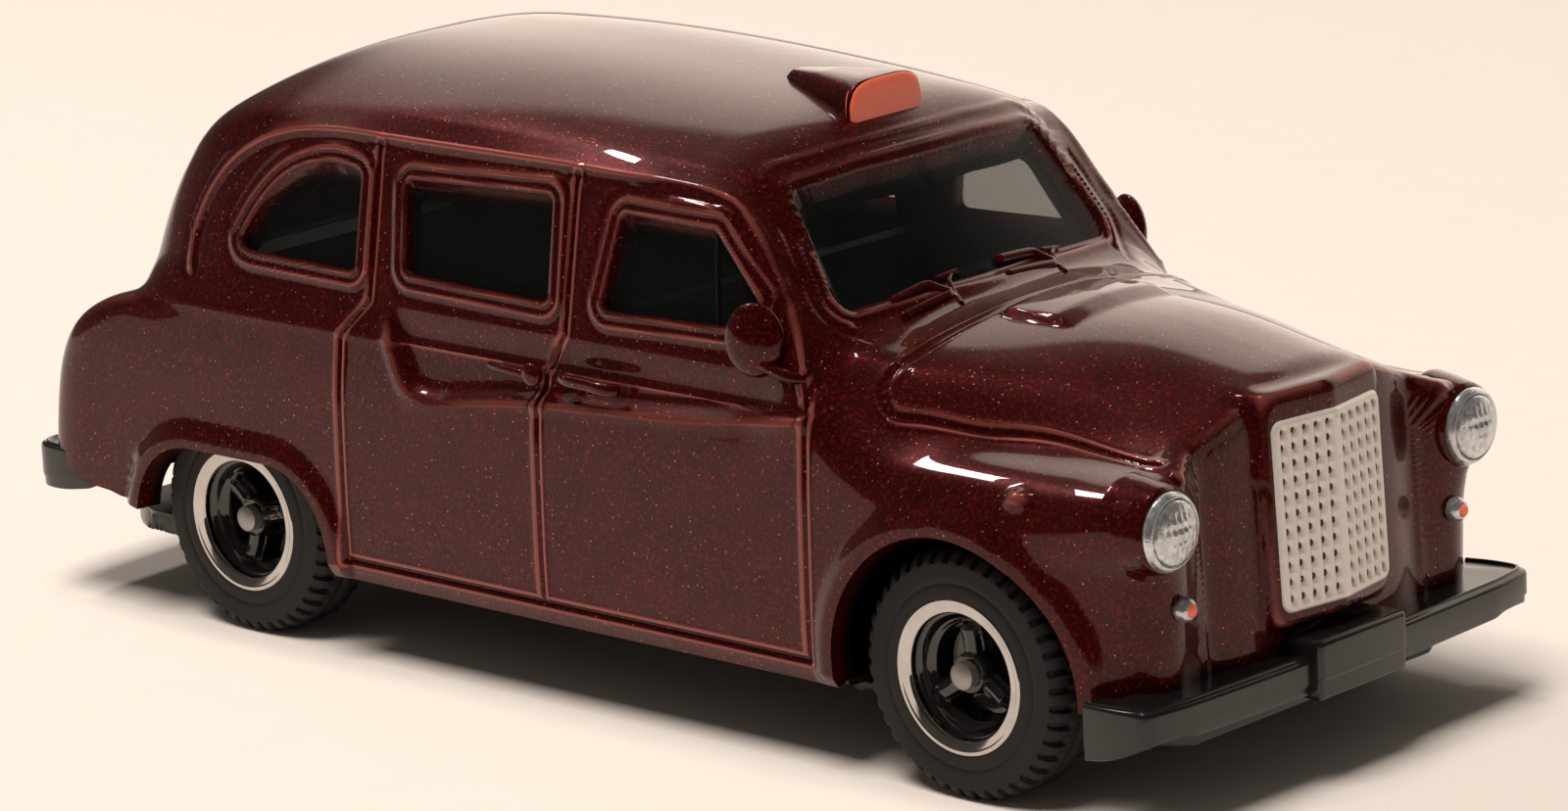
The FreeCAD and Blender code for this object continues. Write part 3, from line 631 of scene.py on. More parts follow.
# stands for no line or opening near
farAway = 9.0


def windowDistance(points):
    # distance outside the nearest window opening
    x, y, z = np.moveaxis(points, -1, 0)
    nearest = np.full(x.shape, farAway)
    for window in windows.values():
        away = outlineDistance(window, windowRadius, x, z)
        nearest = np.minimum(nearest, np.where((y > 9) & (z > 17), away, farAway))
    away = outlineDistance(screenLine, screenRadius, y, z)
    nearest = np.minimum(nearest, np.where((x > 5) & (x < 16) & (z > 17) & (y < 10.9), away, farAway))
    away = outlineDistance(rearScreenLine, rearScreenRadius, y, z)
    return np.minimum(nearest, np.where((x < -22) & (y < 9), away, farAway))


arch = {"frontX": 22.3, "frontRadius": 6.4, "frontHeight": 5.4, "rearX": -22.2, "rearHalf": 6.6,
        "rearTop": 8.95, "rearKnee": 4.2, "rearFoot": 4.35, "power": 2.2}


def archDistance(points):
    # distance outside the wheel openings: a circle on legs in front, a flat-topped arch behind
    x, z = points[..., 0], points[..., 2]
    front = np.hypot(x - arch["frontX"], np.maximum(z - arch["frontHeight"], 0)) - arch["frontRadius"]
    reach = np.abs(x - arch["rearX"])
    knee = arch["rearHalf"] - arch["rearKnee"]
    rise = arch["rearTop"] - arch["rearFoot"]
    across = np.maximum(reach - knee, 0) / arch["rearKnee"]
    above = np.maximum(z - arch["rearFoot"], 0) / rise
    rear = (across ** arch["power"] + above ** arch["power"]) ** (1 / arch["power"]) - 1
    rear *= np.where(above > across, rise, arch["rearKnee"])
    return np.where(x > 0, front, rear)


def lowEdge(points):
    # height above the lower edge of the casting, which rises behind the bumpers
    x, y, z = np.moveaxis(points, -1, 0)
    return z - np.interp(x, [-38, -34.5, -33, -31, -28.5, -27, 27, 28.5, 30, 31.5, 33],
                         [7.3, 6.9, 6.05, 5.9, 5.35, 4.05, 4.05, 4.9, 5.3, 5.5, 5.6])


swoosh = smoothPath([(-11.95, 17.2), (-11.75, 16.3), (-11.45, 15.5), (-10.95, 14.5), (-10.35, 13.68), (-9.5, 13.38),
                     (-6.1, 13.62), (-1.0, 14.2), (7.4, 14.75), (14.2, 15.6)], 6)
gutterSide = smoothPath([(13.9, 16.6), (12.51, 19.28), (11.07, 21.44), (9.58, 23.3), (8.4, 24.25), (6.9, 24.64),
                         (3, 24.78), (-0.49, 24.85), (-7, 24.88), (-12.99, 24.88), (-17.0, 24.8), (-19.85, 24.3),
                         (-21.96, 23.38), (-23.69, 21.93), (-24.84, 20.15), (-25.28, 18.83), (-25.36, 17.42)], 5)
doorTop = {name: [(line[0], 5.1), (line[0], 15.7), (line[1], 17.45), (line[1] + 0.1, 24.5)]
           for name, line in doorLines.items()}
doorTop["front"] = [(14.4, 5.1), (14.4, 15.8), (13.55, 17.3)]
bonnetEdge = smoothPath([(17.0, 0), (16.95, 4), (16.9, 7.5), (16.8, 9.6), (16.75, 10.7), (17.3, 11.1),
                         (18.6, 10.9), (21.4, 10.1), (25.0, 9.15), (28.2, 9.0), (30.6, 9.1)], 6)
scoop = {"front": 21.4, "back": 17.6, "half": 3.6, "lip": 0.34, "lipEnd": 20.3}


def nearLine(path, p, q, applies):
    # distance from a line of straight runs where it applies, far elsewhere
    return np.where(applies, pathDistance(path, p, q), farAway)


def details(points):
    # how far each point stands out from the plain shape
    x, y, z = np.moveaxis(points, -1, 0)
    raised = np.zeros(x.shape)
    side = ease(8.8, 10.2, y)
    # panel lines: a fine groove between two soft rims
    lines = np.full(x.shape, farAway)
    for path in doorTop.values():
        lines = np.minimum(lines, nearLine(path, x, z, y > 9))
    lines = np.minimum(lines, nearLine([(-14.6, 5.05), (14.4, 5.05)], x, z, y > 11))
    lines = np.minimum(lines, nearLine(bonnetEdge, x, y, (z > 14.2) & (x > 15.5)))
    raised += -0.17 * bump(lines, 0.18) + 0.05 * bump(lines - 0.29, 0.2)
    # frames round the windows, in two steps
    away = windowDistance(points)
    frame = 0.13 * bump(away - 0.2, 0.22) + 0.14 * bump(away - 0.68, 0.25) - 0.05 * bump(away - 1.1, 0.3)
    raised += np.where((y > 9) & (z > 17), frame, 0)
    screen = np.where((x > 5) & (z > 18.4), away, farAway)
    raised += np.where(y < 11.4, 0.15 * bump(screen - 0.3, 0.3), 0)
    raised += 0.09 * bump(screen - 0.95, 0.22) * ease(23.2, 24.0, z)
    rear = np.where((x < -22) & (y < 9), away, farAway)
    raised += 0.15 * bump(rear - 0.3, 0.35)
    # rain gutter over the doors and down the pillars
    gutter = nearLine(gutterSide, x, z, y > 9)
    raised += 0.17 * bump(gutter, 0.27) - 0.06 * bump(gutter - 0.42, 0.22)
    # door tops scooped out above the swept line, with a rounded lip along it
    line = pathDistance(swoosh, x, z)
    inside = outlineDistance(swoosh + [(14.2, 17.4), (-11.95, 17.4)], 0, x, z) < 0
    depth = np.where(inside, ease(0, 0.85, line), 0) * ease(17.4, 16.0, z)
    raised += side * np.where(z > 12.4, 1, 0) * (-0.56 * depth + 0.12 * bump(line, 0.6) * ease(17.2, 16.4, z))
    # lips of the wheel arches
    lip = archDistance(points)
    front = 0.30 * ease(1.55, 0.45, lip)
    back = 0.36 * ease(1.35, 0.45, lip)
    raised += np.where(y > 9, np.where(x > 0, front, np.where(z > 4.6, back, back * 0.8)), 0) * ease(4.0, 4.4, z)
    # slit behind the rear wheel opening
    slit = nearLine([(-28.88, 7.61), (-29.88, 5.7)], x, z, (y > 11) & (x < -27) & (z < 8))
    raised += -0.22 * bump(slit, 0.24)
    # rolled edge at the sill
    raised += -0.12 * ease(4.5, 4.1, z) * np.where((x > -27) & (x < 27), 1, 0)
    # fold from the corner of the grille shell out to the wing, and the valley beside the wing
    fold = nearLine([(4.7, 16.6), (6.7, 15.85), (9.2, 14.9)], y, z, x > 30)
    raised += 0.16 * bump(fold, 0.45)
    raised += np.where((x > 30) & (z < 14.6), 0.06 * bump(y - 7.6, 0.3), 0)
    # repeater swelling on the front wing, flap and hinge of the air intake
    raised += 0.38 * bump(np.hypot((x - 26.0) / 1.15, (z - 13.85) / 0.62), 1.0) * np.where(y > 11, 1, 0)
    flap = np.clip((scoop["front"] - x) / (scoop["front"] - scoop["lipEnd"]), 0, 1)
    flap = flap * ease(scoop["back"] - 0.1, scoop["back"] + 0.1, x)
    flap *= ease(scoop["half"] + 0.12, scoop["half"] - 0.06, y) * np.where((z > 17.5) & (x < 24), 1, 0)
    raised += scoop["lip"] * flap
    return raised


def curvature(points, normals):
    # bend of the surface along both ways of the grid, more than nought where it bulges
    total = np.zeros(points.shape[:2])
    for axis in (0, 1):
        ahead, behind = np.roll(points, -1, axis), np.roll(points, 1, axis)
        step = np.linalg.norm(ahead - behind, axis=-1) / 2
        total -= ((ahead + behind - 2 * points) * normals).sum(-1) / np.maximum(step, 0.05) ** 2
    total[[0, 1, -1, -2]] = 0
    total[:, [0, 1, -1, -2]] = 0
    return total


outer = base + baseNormals * details(base)[..., None]
outer[:, -1, 1] = 0
outerNormals = gridNormals(outer)
# the smoothed bend sets a painted highlight along bulging edges and painted shade in the sharpest hollows
edging = curvature(outer, outerNormals)
for axis in (0, 1):
    edging = (np.roll(edging, 1, axis) + 2 * edging + np.roll(edging, -1, axis)) / 4
innerNormals = gridNormals(inner)


def trim(data, triangles, keep):
    # cuts a triangle mesh along the line where keep is nought, and leaves the side above it
    keep = np.where(np.abs(keep) < 1e-4, 1e-4, keep)
    inside = keep > 0
    count = inside[triangles].sum(1)
    size = len(data)
    cuts, keys = [], []
    for wanted in (1, 2):
        # each cut triangle starts from the corner that is alone on its side
        cut = triangles[count == wanted]
        odd = np.argmax(inside[cut] == (wanted == 1), axis=1)
        cut = np.take_along_axis(cut, (odd[:, None] + [0, 1, 2]) % 3, axis=1)
        cuts.append(cut)
        for other in (1, 2):
            ends = np.sort(cut[:, [0, other]], axis=1)
            keys.append(ends[:, 0] * size + ends[:, 1])
    # crossings on one edge are shared by the triangles on both its sides
    shared, index = np.unique(np.concatenate(keys), return_inverse=True)
    first, second = shared // size, shared % size
    share = (keep[first] / (keep[first] - keep[second]))[:, None]
    added = data[first] * (1 - share) + data[second] * share
    tips, stumps = cuts
    corners = np.split(size + index.ravel(), np.cumsum([len(part) for part in keys])[:-1])
    kept = [triangles[count == 3], np.stack([tips[:, 0], corners[0], corners[1]], -1),
            np.stack([corners[2], stumps[:, 1], stumps[:, 2]], -1),
            np.stack([corners[2], stumps[:, 2], corners[3]], -1)]
    return tidyMesh(np.concatenate([data, added]), np.concatenate(kept))


def tidyMesh(data, triangles):
    # drops points that no triangle uses
    used = np.unique(triangles)
    place = np.zeros(len(data), int)
    place[used] = np.arange(len(used))
    return data[used], place[triangles]


def openEdges(triangles, size):
    # edges with a triangle on one side only, in the direction of that triangle
    ends = np.concatenate([triangles[:, [0, 1]], triangles[:, [1, 2]], triangles[:, [2, 0]]])
    forward = ends[:, 0] * size + ends[:, 1]
    backward = ends[:, 1] * size + ends[:, 0]
    return ends[~np.isin(forward, backward)]


# columns of data: places and directions take up three each
column = {"plain": 0, "outer": 3, "inner": 6, "outward": 9, "inward": 12, "edging": 15, "row": 16,
          "paneFront": 17, "paneBack": 20}


def three(data, name):
    # the place or direction kept in data under a name
    return data[:, column[name]:column[name] + 3]


rows, columns = base.shape[:2]
rowNumber = np.broadcast_to(np.arange(columns, dtype=float), (rows, columns))[..., None]
data = np.concatenate([base, outer, inner, outerNormals, innerNormals, edging[..., None], rowNumber], -1)
data = data.reshape(rows * columns, -1)
index = np.arange(rows * columns).reshape(rows, columns)
index[0], index[-1] = index[0, 0], index[-1, 0]
corner = [index[:-1, :-1], index[:-1, 1:], index[1:, 1:], index[1:, :-1]]
triangles = np.concatenate([np.stack([corner[k] for k in order], -1).reshape(-1, 3)
                            for order in ((0, 1, 2), (0, 2, 3))])
data, triangles = tidyMesh(data, unlike(triangles))
whole = (data, triangles)
data, triangles = trim(data, triangles, windowDistance(three(data, "plain")))
data, triangles = trim(data, triangles, np.where(data[:, 1] > 6, archDistance(three(data, "plain")), 5))
data, triangles = trim(data, triangles, lowEdge(three(data, "plain")))
first, second, third = (three(data, "outer")[triangles[:, k]] for k in range(3))
facing = (np.cross(second - first, third - first) * three(data, "outward")[triangles[:, 0]]).sum(1)
print("casting triangles", len(triangles), "outward", round(float((facing > 0).mean()), 4))


def addShell(name, data, triangles, skins, finish, mirrored=False, edging=None):
    # outer skin, inner skin turned round, and a rim of quads along every open edge
    size = len(data)
    points = np.concatenate([three(data, skin) for skin in skins])
    outNormals, inNormals = unit(three(data, "outward")), unit(three(data, "inward"))
    edges = openEdges(triangles, size)
    rim = np.stack([edges[:, 1], edges[:, 0], edges[:, 0] + size, edges[:, 1] + size], -1)
    rimNormals = unit(np.cross(points[rim[:, 1]] - points[rim[:, 0]], points[rim[:, 3]] - points[rim[:, 0]]))
    groups = [np.concatenate([triangles, triangles[:, ::-1] + size]), rim]
    normals = [np.concatenate([outNormals[triangles], -inNormals[triangles[:, ::-1]]]),
               np.repeat(rimNormals[:, None], 4, axis=1)]
    if mirrored:
        points = points * [1, -1, 1]
        groups = [group[:, ::-1] for group in groups]
        normals = [group[:, ::-1] * [1, -1, 1] for group in normals]
    # the paint reads -40 as the inside of the casting, which it paints near black as shade
    values = None if edging is None else {"edging": np.concatenate([edging, np.full(size, -40.0)])}
    return addPiece(name, points, groups, finish, values=values,
                    normals=np.concatenate([group.reshape(-1, 3) for group in normals]))


candyPaint = Shader("candyPaint", "candy_paint", Roughness=0.34, Specular_IOR_Level=0.06,
                    Coat_Roughness=0.015, Coat_IOR=1.285)
paintPlace = candyPaint.place()
# metal flakes: small round spots round random points, of different brightness
flake = {"perMillimetre": 3.4, "size": 0.14, "gap": 0.58, "contrast": 2.0}
cells = {"Vector": paintPlace, "Scale": flake["perMillimetre"]}
spots = candyPaint.node("ShaderNodeTexVoronoi", {}, cells, output="Distance")
chance = candyPaint.node("ShaderNodeSeparateColor", {}, {
    0: candyPaint.node("ShaderNodeTexVoronoi", {}, cells, output="Color")})
flakes = (spots < flake["size"]) * (chance > flake["gap"]) * chance ** flake["contrast"]
# the colour is paler over bulging edges, partly thin paint and partly a painted highlight, and clouded a little on
# flat panels
clouds = candyPaint.noise(paintPlace, 0.5, 4.0)
deep = candyPaint.mix(clouds, (0.018, 0.0011, 0.0010), (0.062, 0.0042, 0.0036))
grit = candyPaint.noise(paintPlace, 6.0, 2.0)
deep = candyPaint.mix(candyPaint.ramp(grit, (0.50, 0.0), (0.80, 1.0)), deep, (0.16, 0.0105, 0.0082))
edge = candyPaint.node("ShaderNodeAttribute", {"attribute_name": "edging"}, output="Fac")
paintedSheenColour = candyPaint.mix(candyPaint.fade(edge, 0.8, 3.4, 0.0, 0.8), deep, (0.32, 0.085, 0.068))
paintedSheenColour = candyPaint.mix(flakes, paintedSheenColour, (0.60, 0.19, 0.13))
# painted shade: the inner skin is painted as unlit near-black metal, and the sharpest hollows of the outer skin
# darken towards it
inside = candyPaint.node("ShaderNodeMapRange", {}, {0: edge, 1: -16.0, 2: -30.0, 3: 0.0, 4: 1.0})
candyPaint.finish(Base_Color=candyPaint.mix(inside, paintedSheenColour, (0.004, 0.003, 0.003)), Metallic=0.50 - inside * 0.50,
                  Coat_Weight=1.0 - inside)
candyPaint.rough(candyPaint.noise(paintPlace, 0.55, 2.0), 1.0, 0.000022)
smokedGlass = Shader("smokedGlass", "clear_glazing", Roughness=0.04, Alpha=0.35, Specular_IOR_Level=0.2)
glassPlace = smokedGlass.place()
smokedGlass.finish(Base_Color=smokedGlass.mix(smokedGlass.noise(glassPlace, 0.4, 3.0), (0.006, 0.007, 0.007),
                                              (0.012, 0.014, 0.013)))
# the casting is kept in an upper and a lower piece on each side, which meet at the waist
seamRow = int(np.argmin(np.abs(rowsSide - 15.9)))
upper = data[triangles, column["row"]].max(1) > seamRow + 1e-6
for side, mirrored in (("right", True), ("left", False)):
    for level, chosen in (("upper", upper), ("lower", ~upper)):
        piece, faces = tidyMesh(data, triangles[chosen])
        shell = addShell("casting_" + side + "_" + level, piece, faces, ("outer", "inner"), candyPaint,
                         mirrored, piece[:, column["edging"]])
        if side == "right" and level == "upper":
            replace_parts(shell, "body_casting")

# panes moulded as one clear piece behind the openings
pane = {"overlap": 0.32, "screenInset": 0.10, "inset": 0.30, "thickness": 0.5}
paneData, paneFaces = trim(*whole, pane["overlap"] - windowDistance(three(whole[0], "plain")))
plain = three(paneData, "plain")
depth = three(paneData, "inner") - plain
inset = np.where((plain[:, :1] > 5) & (plain[:, 1:2] < 10.9), pane["screenInset"], pane["inset"])
paneData = np.concatenate([paneData, plain + inset * depth, plain + (inset + pane["thickness"]) * depth], -1)
for side, mirrored in (("right", True), ("left", False)):
    panes = addShell("panes_" + side, paneData, paneFaces, ("paneFront", "paneBack"), smokedGlass, mirrored)
    if mirrored:
        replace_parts(panes, "window_glazing")
print("casting and panes are made")


def roundedLine(points, radius, steps=4, closed=True):
    # line whose corners become short curves: (1-t)^2 a + 2t(1-t) b + t^2 c
    points = np.array(points, float)
    t = np.linspace(0, 1, steps + 1)[:, None]
    made = [] if closed else [points[:1]]
    for k in range(len(points)) if closed else range(1, len(points) - 1):
        here = points[k]
        before, after = points[k - 1] - here, points[(k + 1) % len(points)] - here
        reach = min(radius, np.linalg.norm(before) / 2.02, np.linalg.norm(after) / 2.02)
        start = here + before / np.linalg.norm(before) * reach
        end = here + after / np.linalg.norm(after) * reach
        made.append((1 - t) ** 2 * start + 2 * t * (1 - t) * here + t ** 2 * end)
    return np.concatenate(made + [made[0][:1] if closed else points[-1:]])


def closedEnds(points):
    # a grid whose first and last rows are each closed to a point
    ends = [rows.mean(1, keepdims=True) + 0 * rows for rows in (points[:1], points[-1:])]
    return np.concatenate([ends[0], points, ends[1]])


def evenly(line, spacing):
    # the same line with points spacing apart
    line = np.asarray(line, float)
    steps = np.concatenate([[0], np.cumsum(np.linalg.norm(np.diff(line, axis=0), axis=1))])
    fine = np.linspace(0, steps[-1], int(math.ceil(steps[-1] / spacing)) + 1)
    return np.stack([np.interp(fine, steps, column) for column in line.T], -1)


def turned(profile, count=96, axis="y", centre=(0, 0, 0)):
    # (radius, along) pairs carried round an axis: radius * cos, along, radius * sin
    angle = np.linspace(0, 2 * np.pi, count + 1)[:, None]
    radius, along = np.asarray(profile, float).T
    first, second, along = radius * np.cos(angle), radius * np.sin(angle), along + 0 * angle
    points = (first, along, second) if axis == "y" else (along, first, second)
    return np.stack(points, -1) + centre


def carried(path, section, up=(0, 0, 1), ends=0.0):
    # a closed section of (sideways, up) pairs carried along a path, its ends drawn in and closed
    path = np.asarray(path, float)
    section = np.asarray(section, float)
    along = unit(np.gradient(path, axis=0))
    sideways = unit(np.cross(along, np.asarray(up, float)))
    upwards = np.cross(sideways, along)
    points = path[:, None] + section[None, :, :1] * sideways[:, None] + section[None, :, 1:] * upwards[:, None]
    mean = points.mean(1, keepdims=True)
    start, finish = (np.stack([mean[end] + (points[end] - mean[end]) * share + way * along[end] * ends * out
                               for share, out in ((0.0, 1.0), (0.55, 0.85), (0.85, 0.5))])
                     for end, way in ((0, -1), (-1, 1)))
    return np.concatenate([start, points, finish[::-1]])


def oval(width, height, count=20, power=2.0):
    # closed section: |p / width| ** power + |q / height| ** power = 1
    angle = np.linspace(0, 2 * np.pi, count + 1)
    reach = (np.abs(np.cos(angle)) ** power + np.abs(np.sin(angle)) ** power) ** (-1 / power)
    return np.stack([width * reach * np.cos(angle), height * reach * np.sin(angle)], -1)


def roundedBox(low, high, radius, count=6):
    # box whose corners are parts of a sphere: each corner of the core plus radius times the direction
    low, high = np.array(low, float), np.array(high, float)
    quarter = np.linspace(0, np.pi / 2, count + 1)
    turn = np.concatenate([quarter + k * np.pi / 2 for k in range(4)] + [quarter[:1]])
    signX = np.repeat([1, -1, -1, 1], count + 1)
    signY = np.repeat([1, 1, -1, -1], count + 1)
    signX, signY = np.append(signX, 1), np.append(signY, 1)
    rise = np.concatenate([-quarter[::-1], quarter])
    signZ = np.repeat([-1, 1], count + 1)
    core = (high - low) / 2 - radius
    x = signX[None] * core[0] + radius * np.cos(rise)[:, None] * np.cos(turn)[None]
    y = signY[None] * core[1] + radius * np.cos(rise)[:, None] * np.sin(turn)[None]
    z = (signZ * core[2] + radius * np.sin(rise))[:, None] + 0 * x
    return closedEnds(np.stack([x, y, z], -1)) + (low + high) / 2


def addBoth(name, points, finish, **more):
    # one piece on the left and its mirror image on the right
    for side, turn in (("left", 1), ("right", -1)):
        addGrid(name + "_" + side, points * [1, turn, 1], finish, **more)


def finishOf(name, slot, dark, pale, rough, scale, height=0.0, **surface):
    # two shades clouded into each other, and an uneven roughness
    made = Shader(name, slot, **surface)
    where = made.place()
    cloud = made.noise(where, scale, 4.0)
    made.finish(Base_Color=made.mix(cloud, dark, pale), Roughness=rough[0] + cloud * (rough[1] - rough[0]))
    if height:
        made.rough(made.noise(where, scale * 2.5, 4.0), 0.5, height)
    return made


# slot, the two shades, the roughness from and to, then noise per mm and the height of its bumps in m
rubber = finishOf("tyreRubber", "tyre_rubber", (0.009, 0.008, 0.008), (0.019, 0.017, 0.016), (0.55, 0.75),
                  1.6, 0.00002, Specular_IOR_Level=0.3)
chrome = finishOf("chromeRing", "chrome_rim", (0.40, 0.38, 0.36), (0.62, 0.59, 0.56), (0.05, 0.13),
                  1.2, Metallic=1.0)
glossBlack = finishOf("glossBlack", "black_hub", (0.004, 0.004, 0.004), (0.009, 0.008, 0.008), (0.07, 0.16),
                      1.5, Coat_Weight=0.6)
blackPlastic = finishOf("blackPlastic", "base_plastic", (0.006, 0.0055, 0.005), (0.012, 0.011, 0.010),
                        (0.14, 0.26), 1.2, 0.000003, Specular_IOR_Level=0.5)
innerPlastic = finishOf("innerPlastic", "interior_plastic", (0.003, 0.003, 0.003), (0.006, 0.006, 0.006),
                        (0.5, 0.7), 1.5, Specular_IOR_Level=0.2)
silverPaint = finishOf("silverPaint", "chrome_rim", (0.66, 0.60, 0.55), (0.86, 0.79, 0.72), (0.30, 0.50),
                       3.0, 0.000006, Metallic=0.35)
lampSilver = finishOf("lampSilver", "chrome_rim", (0.16, 0.16, 0.16), (0.98, 0.99, 1.0), (0.12, 0.30),
                      3.4, 0.00003, Metallic=0.75)
orangePaint = finishOf("orangePaint", "clear_glazing", (0.94, 0.15, 0.080), (1.0, 0.21, 0.115), (0.28, 0.42),
                       1.2, Coat_Weight=0.2)
redPaint = finishOf("redPaint", "candy_paint", (0.28, 0.006, 0.006), (0.42, 0.014, 0.012), (0.18, 0.3),
                    1.5, Coat_Weight=0.8)
steel = finishOf("axleSteel", "axle_steel", (0.30, 0.26, 0.24), (0.46, 0.41, 0.38), (0.42, 0.6),
                 2.2, 0.00001, Metallic=0.85)
rivetMetal = finishOf("rivetMetal", "axle_steel", (0.28, 0.25, 0.23), (0.42, 0.38, 0.36), (0.32, 0.5),
                      1.8, 0.00001, Metallic=0.9)
platePaint = finishOf("platePaint", "chrome_rim", (0.46, 0.45, 0.41), (0.60, 0.58, 0.54), (0.35, 0.5), 1.6)


# wheels, drawn for the left front one, y outward from its outer face
wheel = {"notches": 42, "notchDepth": 0.26, "notchReach": 1.05, "front": 13.10, "rear": 12.80,
         "frontClock": 93, "rearClock": 135,
         # radius, and how far short of the outer face of the wheel
         "axleEnd": [(0.0, 0.09), (0.40, 0.10), (0.60, 0.24), (0.62, 0.6), (0.5, 1.2)]}
tyreLine = roundedLine([(3.40, -0.30), (3.40, -0.03), (3.60, -0.03), (4.02, -0.05), (4.12, -0.14), (4.24, -0.05),
                        (5.08, -0.10), (5.40, -0.38), (5.55, -0.75), (5.55, -1.62), (5.42, -1.66), (5.42, -1.94),
                        (5.55, -1.98), (5.55, -2.85), (5.40, -3.22), (5.08, -3.50), (3.60, -3.6),
                        (3.40, -3.55)], 0.07, 3)
tyreLine = evenly(tyreLine, 0.13)
tyre = turned(tyreLine, wheel["notches"] * 8)
turnAngle = np.arctan2(tyre[..., 2], tyre[..., 0])
radius, inward = np.hypot(tyre[..., 0], tyre[..., 2]), -tyre[..., 1]
for shift, reach in ((0.0, inward), (0.5, 3.6 - inward)):
    pulse = np.sin((turnAngle / (2 * np.pi) * wheel["notches"] + shift) * 2 * np.pi)
    cut = ease(0.05, 0.55, pulse) * ease(wheel["notchReach"] + 0.12, wheel["notchReach"], reach)
    cut *= ease(5.06, 5.18, radius)
    factor = 1 - wheel["notchDepth"] * cut / radius
    tyre[..., 0] *= factor
    tyre[..., 2] *= factor
rimLine = roundedLine([(2.78, -2.30), (2.78, -0.25), (2.86, -0.10), (3.22, -0.03), (3.27, 0.0), (3.42, 0.0),
                       (3.47, -0.06), (3.47, -3.2), (2.78, -3.2)], 0.06, 3)


def hubFace(clock):
    # a dish with three raised spokes between three deep rounded windows, as height over radius and angle
    rings, edge = 62, 2.80
    radius = np.concatenate([np.linspace(0, edge, rings), [edge, edge, 0.0]])
    angle = np.linspace(0, 2 * np.pi, 241)
    r, around = np.meshgrid(radius, angle, indexing="ij")
    apart = (np.degrees(around) - clock + 60) % 120 - 60
    across = np.abs(r * np.sin(np.radians(apart)))
    dish = -0.52 - 0.62 * ease(2.74, 2.30, r) - 0.15 * ease(2.2, 1.2, r)
    spoke = 0.52 * np.clip(1 - (across / 0.42) ** 2, 0, 1) ** 0.6 * ease(2.25, 1.95, r)
    boss = 0.60 * ease(1.05, 0.78, r)
    inside = np.minimum(np.minimum(r - 1.02, 2.22 - r), across - 0.48)
    hole = -1.0 * ease(0.0, 0.16, inside) + 0.09 * bump(inside + 0.14, 0.13)
    height = dish + np.maximum(spoke * ease(0.5, 1.0, r), boss) + hole
    height[rings] = -0.60
    height[rings + 1:] = -2.38
    height[:, -1] = height[:, 0]
    return np.stack([r * np.cos(around), height, r * np.sin(around)], -1)


for end, sign in (("front", 1), ("rear", -1)):
    station = (sign * halfBase, 0, axleHeight)
    for side, turn in (("left", 1), ("right", -1)):
        place = [sign * halfBase, turn * wheel[end], axleHeight]
        bodyName = end + "_" + side + "_wheel"
        for part, points, finish in (("tyre", tyre, rubber), ("rim", turned(rimLine, 128), chrome),
                                     ("hub", hubFace(wheel[end + "Clock"]), glossBlack)):
            piece = addGrid(end + "_" + side + "_" + part + "_detail", points * [1, turn, 1] + place,
                            finish, bodyName, 50)
            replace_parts(piece, end + "_" + side + "_" + part)
    reach = wheel[end]
    line = [(radius, reach - short) for radius, short in wheel["axleEnd"]]
    line = line + [(radius, -along) for radius, along in line[::-1]]
    shaft = addGrid(end + "_axle_turned", turned(line, 40, centre=station), steel, sharp=40)
    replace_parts(shaft, end + "_axle")
print("wheels and axles are made")


grille = {"half": 3.70, "low": 7.72, "high": 16.12, "corner": 0.55, "proud": 0.16, "columns": 0.67,
          "firstColumn": 0.5, "rows": 0.727, "firstRow": 8.36, "pit": 0.20, "plan": 0.15, "rim": 0.22}
acrossY = np.linspace(-grille["half"], grille["half"], 181)
upZ = np.linspace(grille["low"], grille["high"], 205)
gridY, gridZ = np.meshgrid(acrossY, upZ, indexing="ij")
# corners are rounded by squeezing the grid into the outline
middleZ = (grille["low"] + grille["high"]) / 2
halfZ = (grille["high"] - grille["low"]) / 2
corner = grille["corner"]
intoCorner = np.maximum(np.abs(gridZ - middleZ) - halfZ + corner, 0)
shrink = corner - np.sqrt(np.maximum(corner ** 2 - intoCorner ** 2, 0))
gridY = gridY * (1 - shrink / grille["half"])
away = -outlineDistance([(-grille["half"] + corner, grille["low"] + corner),
                         (grille["half"] - corner, grille["low"] + corner),
                         (grille["half"] - corner, grille["high"] - corner),
                         (-grille["half"] + corner, grille["high"] - corner)], corner, gridY, gridZ)
# rows of pits with a low swelling between each and the next
columnPhase = (np.abs(gridY) - grille["firstColumn"]) / grille["columns"]
nearColumn = (columnPhase - np.clip(np.round(columnPhase), 0, 4)) * grille["columns"]
rowPhase = (gridZ - grille["firstRow"]) / grille["rows"]
nearRow = (rowPhase - np.clip(np.round(rowPhase), 0, 10)) * grille["rows"]
betweenRow = (rowPhase - np.clip(np.round(rowPhase - 0.5), 0, 9) - 0.5) * grille["rows"]
field = ease(0.28, 0.48, away)
ribs = 0.09 * np.cos(np.clip(columnPhase, -0.5, 4.5) * 2 * np.pi)
pits = bump(np.hypot(nearColumn, nearRow), 0.20)
lumps = bump(np.hypot(nearColumn * 0.9, betweenRow), 0.30)
relief = -field * (0.06 + ribs + grille["pit"] * pits - 0.05 * lumps)
relief -= grille["rim"] * (1 - np.sqrt(np.clip(1 - (1 - np.clip(away / grille["rim"], 0, 1)) ** 2, 0, 1)))
shellX = body["shell"][3]
noseZ, noseLean = body["nose"][1:]


def shellFront(y, z):
    # x of the grille shell's face: leaning back as it rises, and pointed in plan
    return shellX - noseLean * (z - noseZ) + grille["plan"] * (3.6 - np.abs(y))


frontX = shellFront(gridY, gridZ) + grille["proud"] + relief
face = np.stack([frontX, gridY, gridZ], -1)
rear = np.stack([shellFront(gridY, gridZ) - 0.35, gridY, gridZ], -1)
panel = np.concatenate([face, rear[:, ::-1], face[:, :1]], axis=1)
panel = np.concatenate([panel[:1] * 0 + rear[:1].mean((0, 1)), panel, panel[-1:] * 0 + rear[-1:].mean((0, 1))])
addGrid("grille", panel, silverPaint, sharp=60)

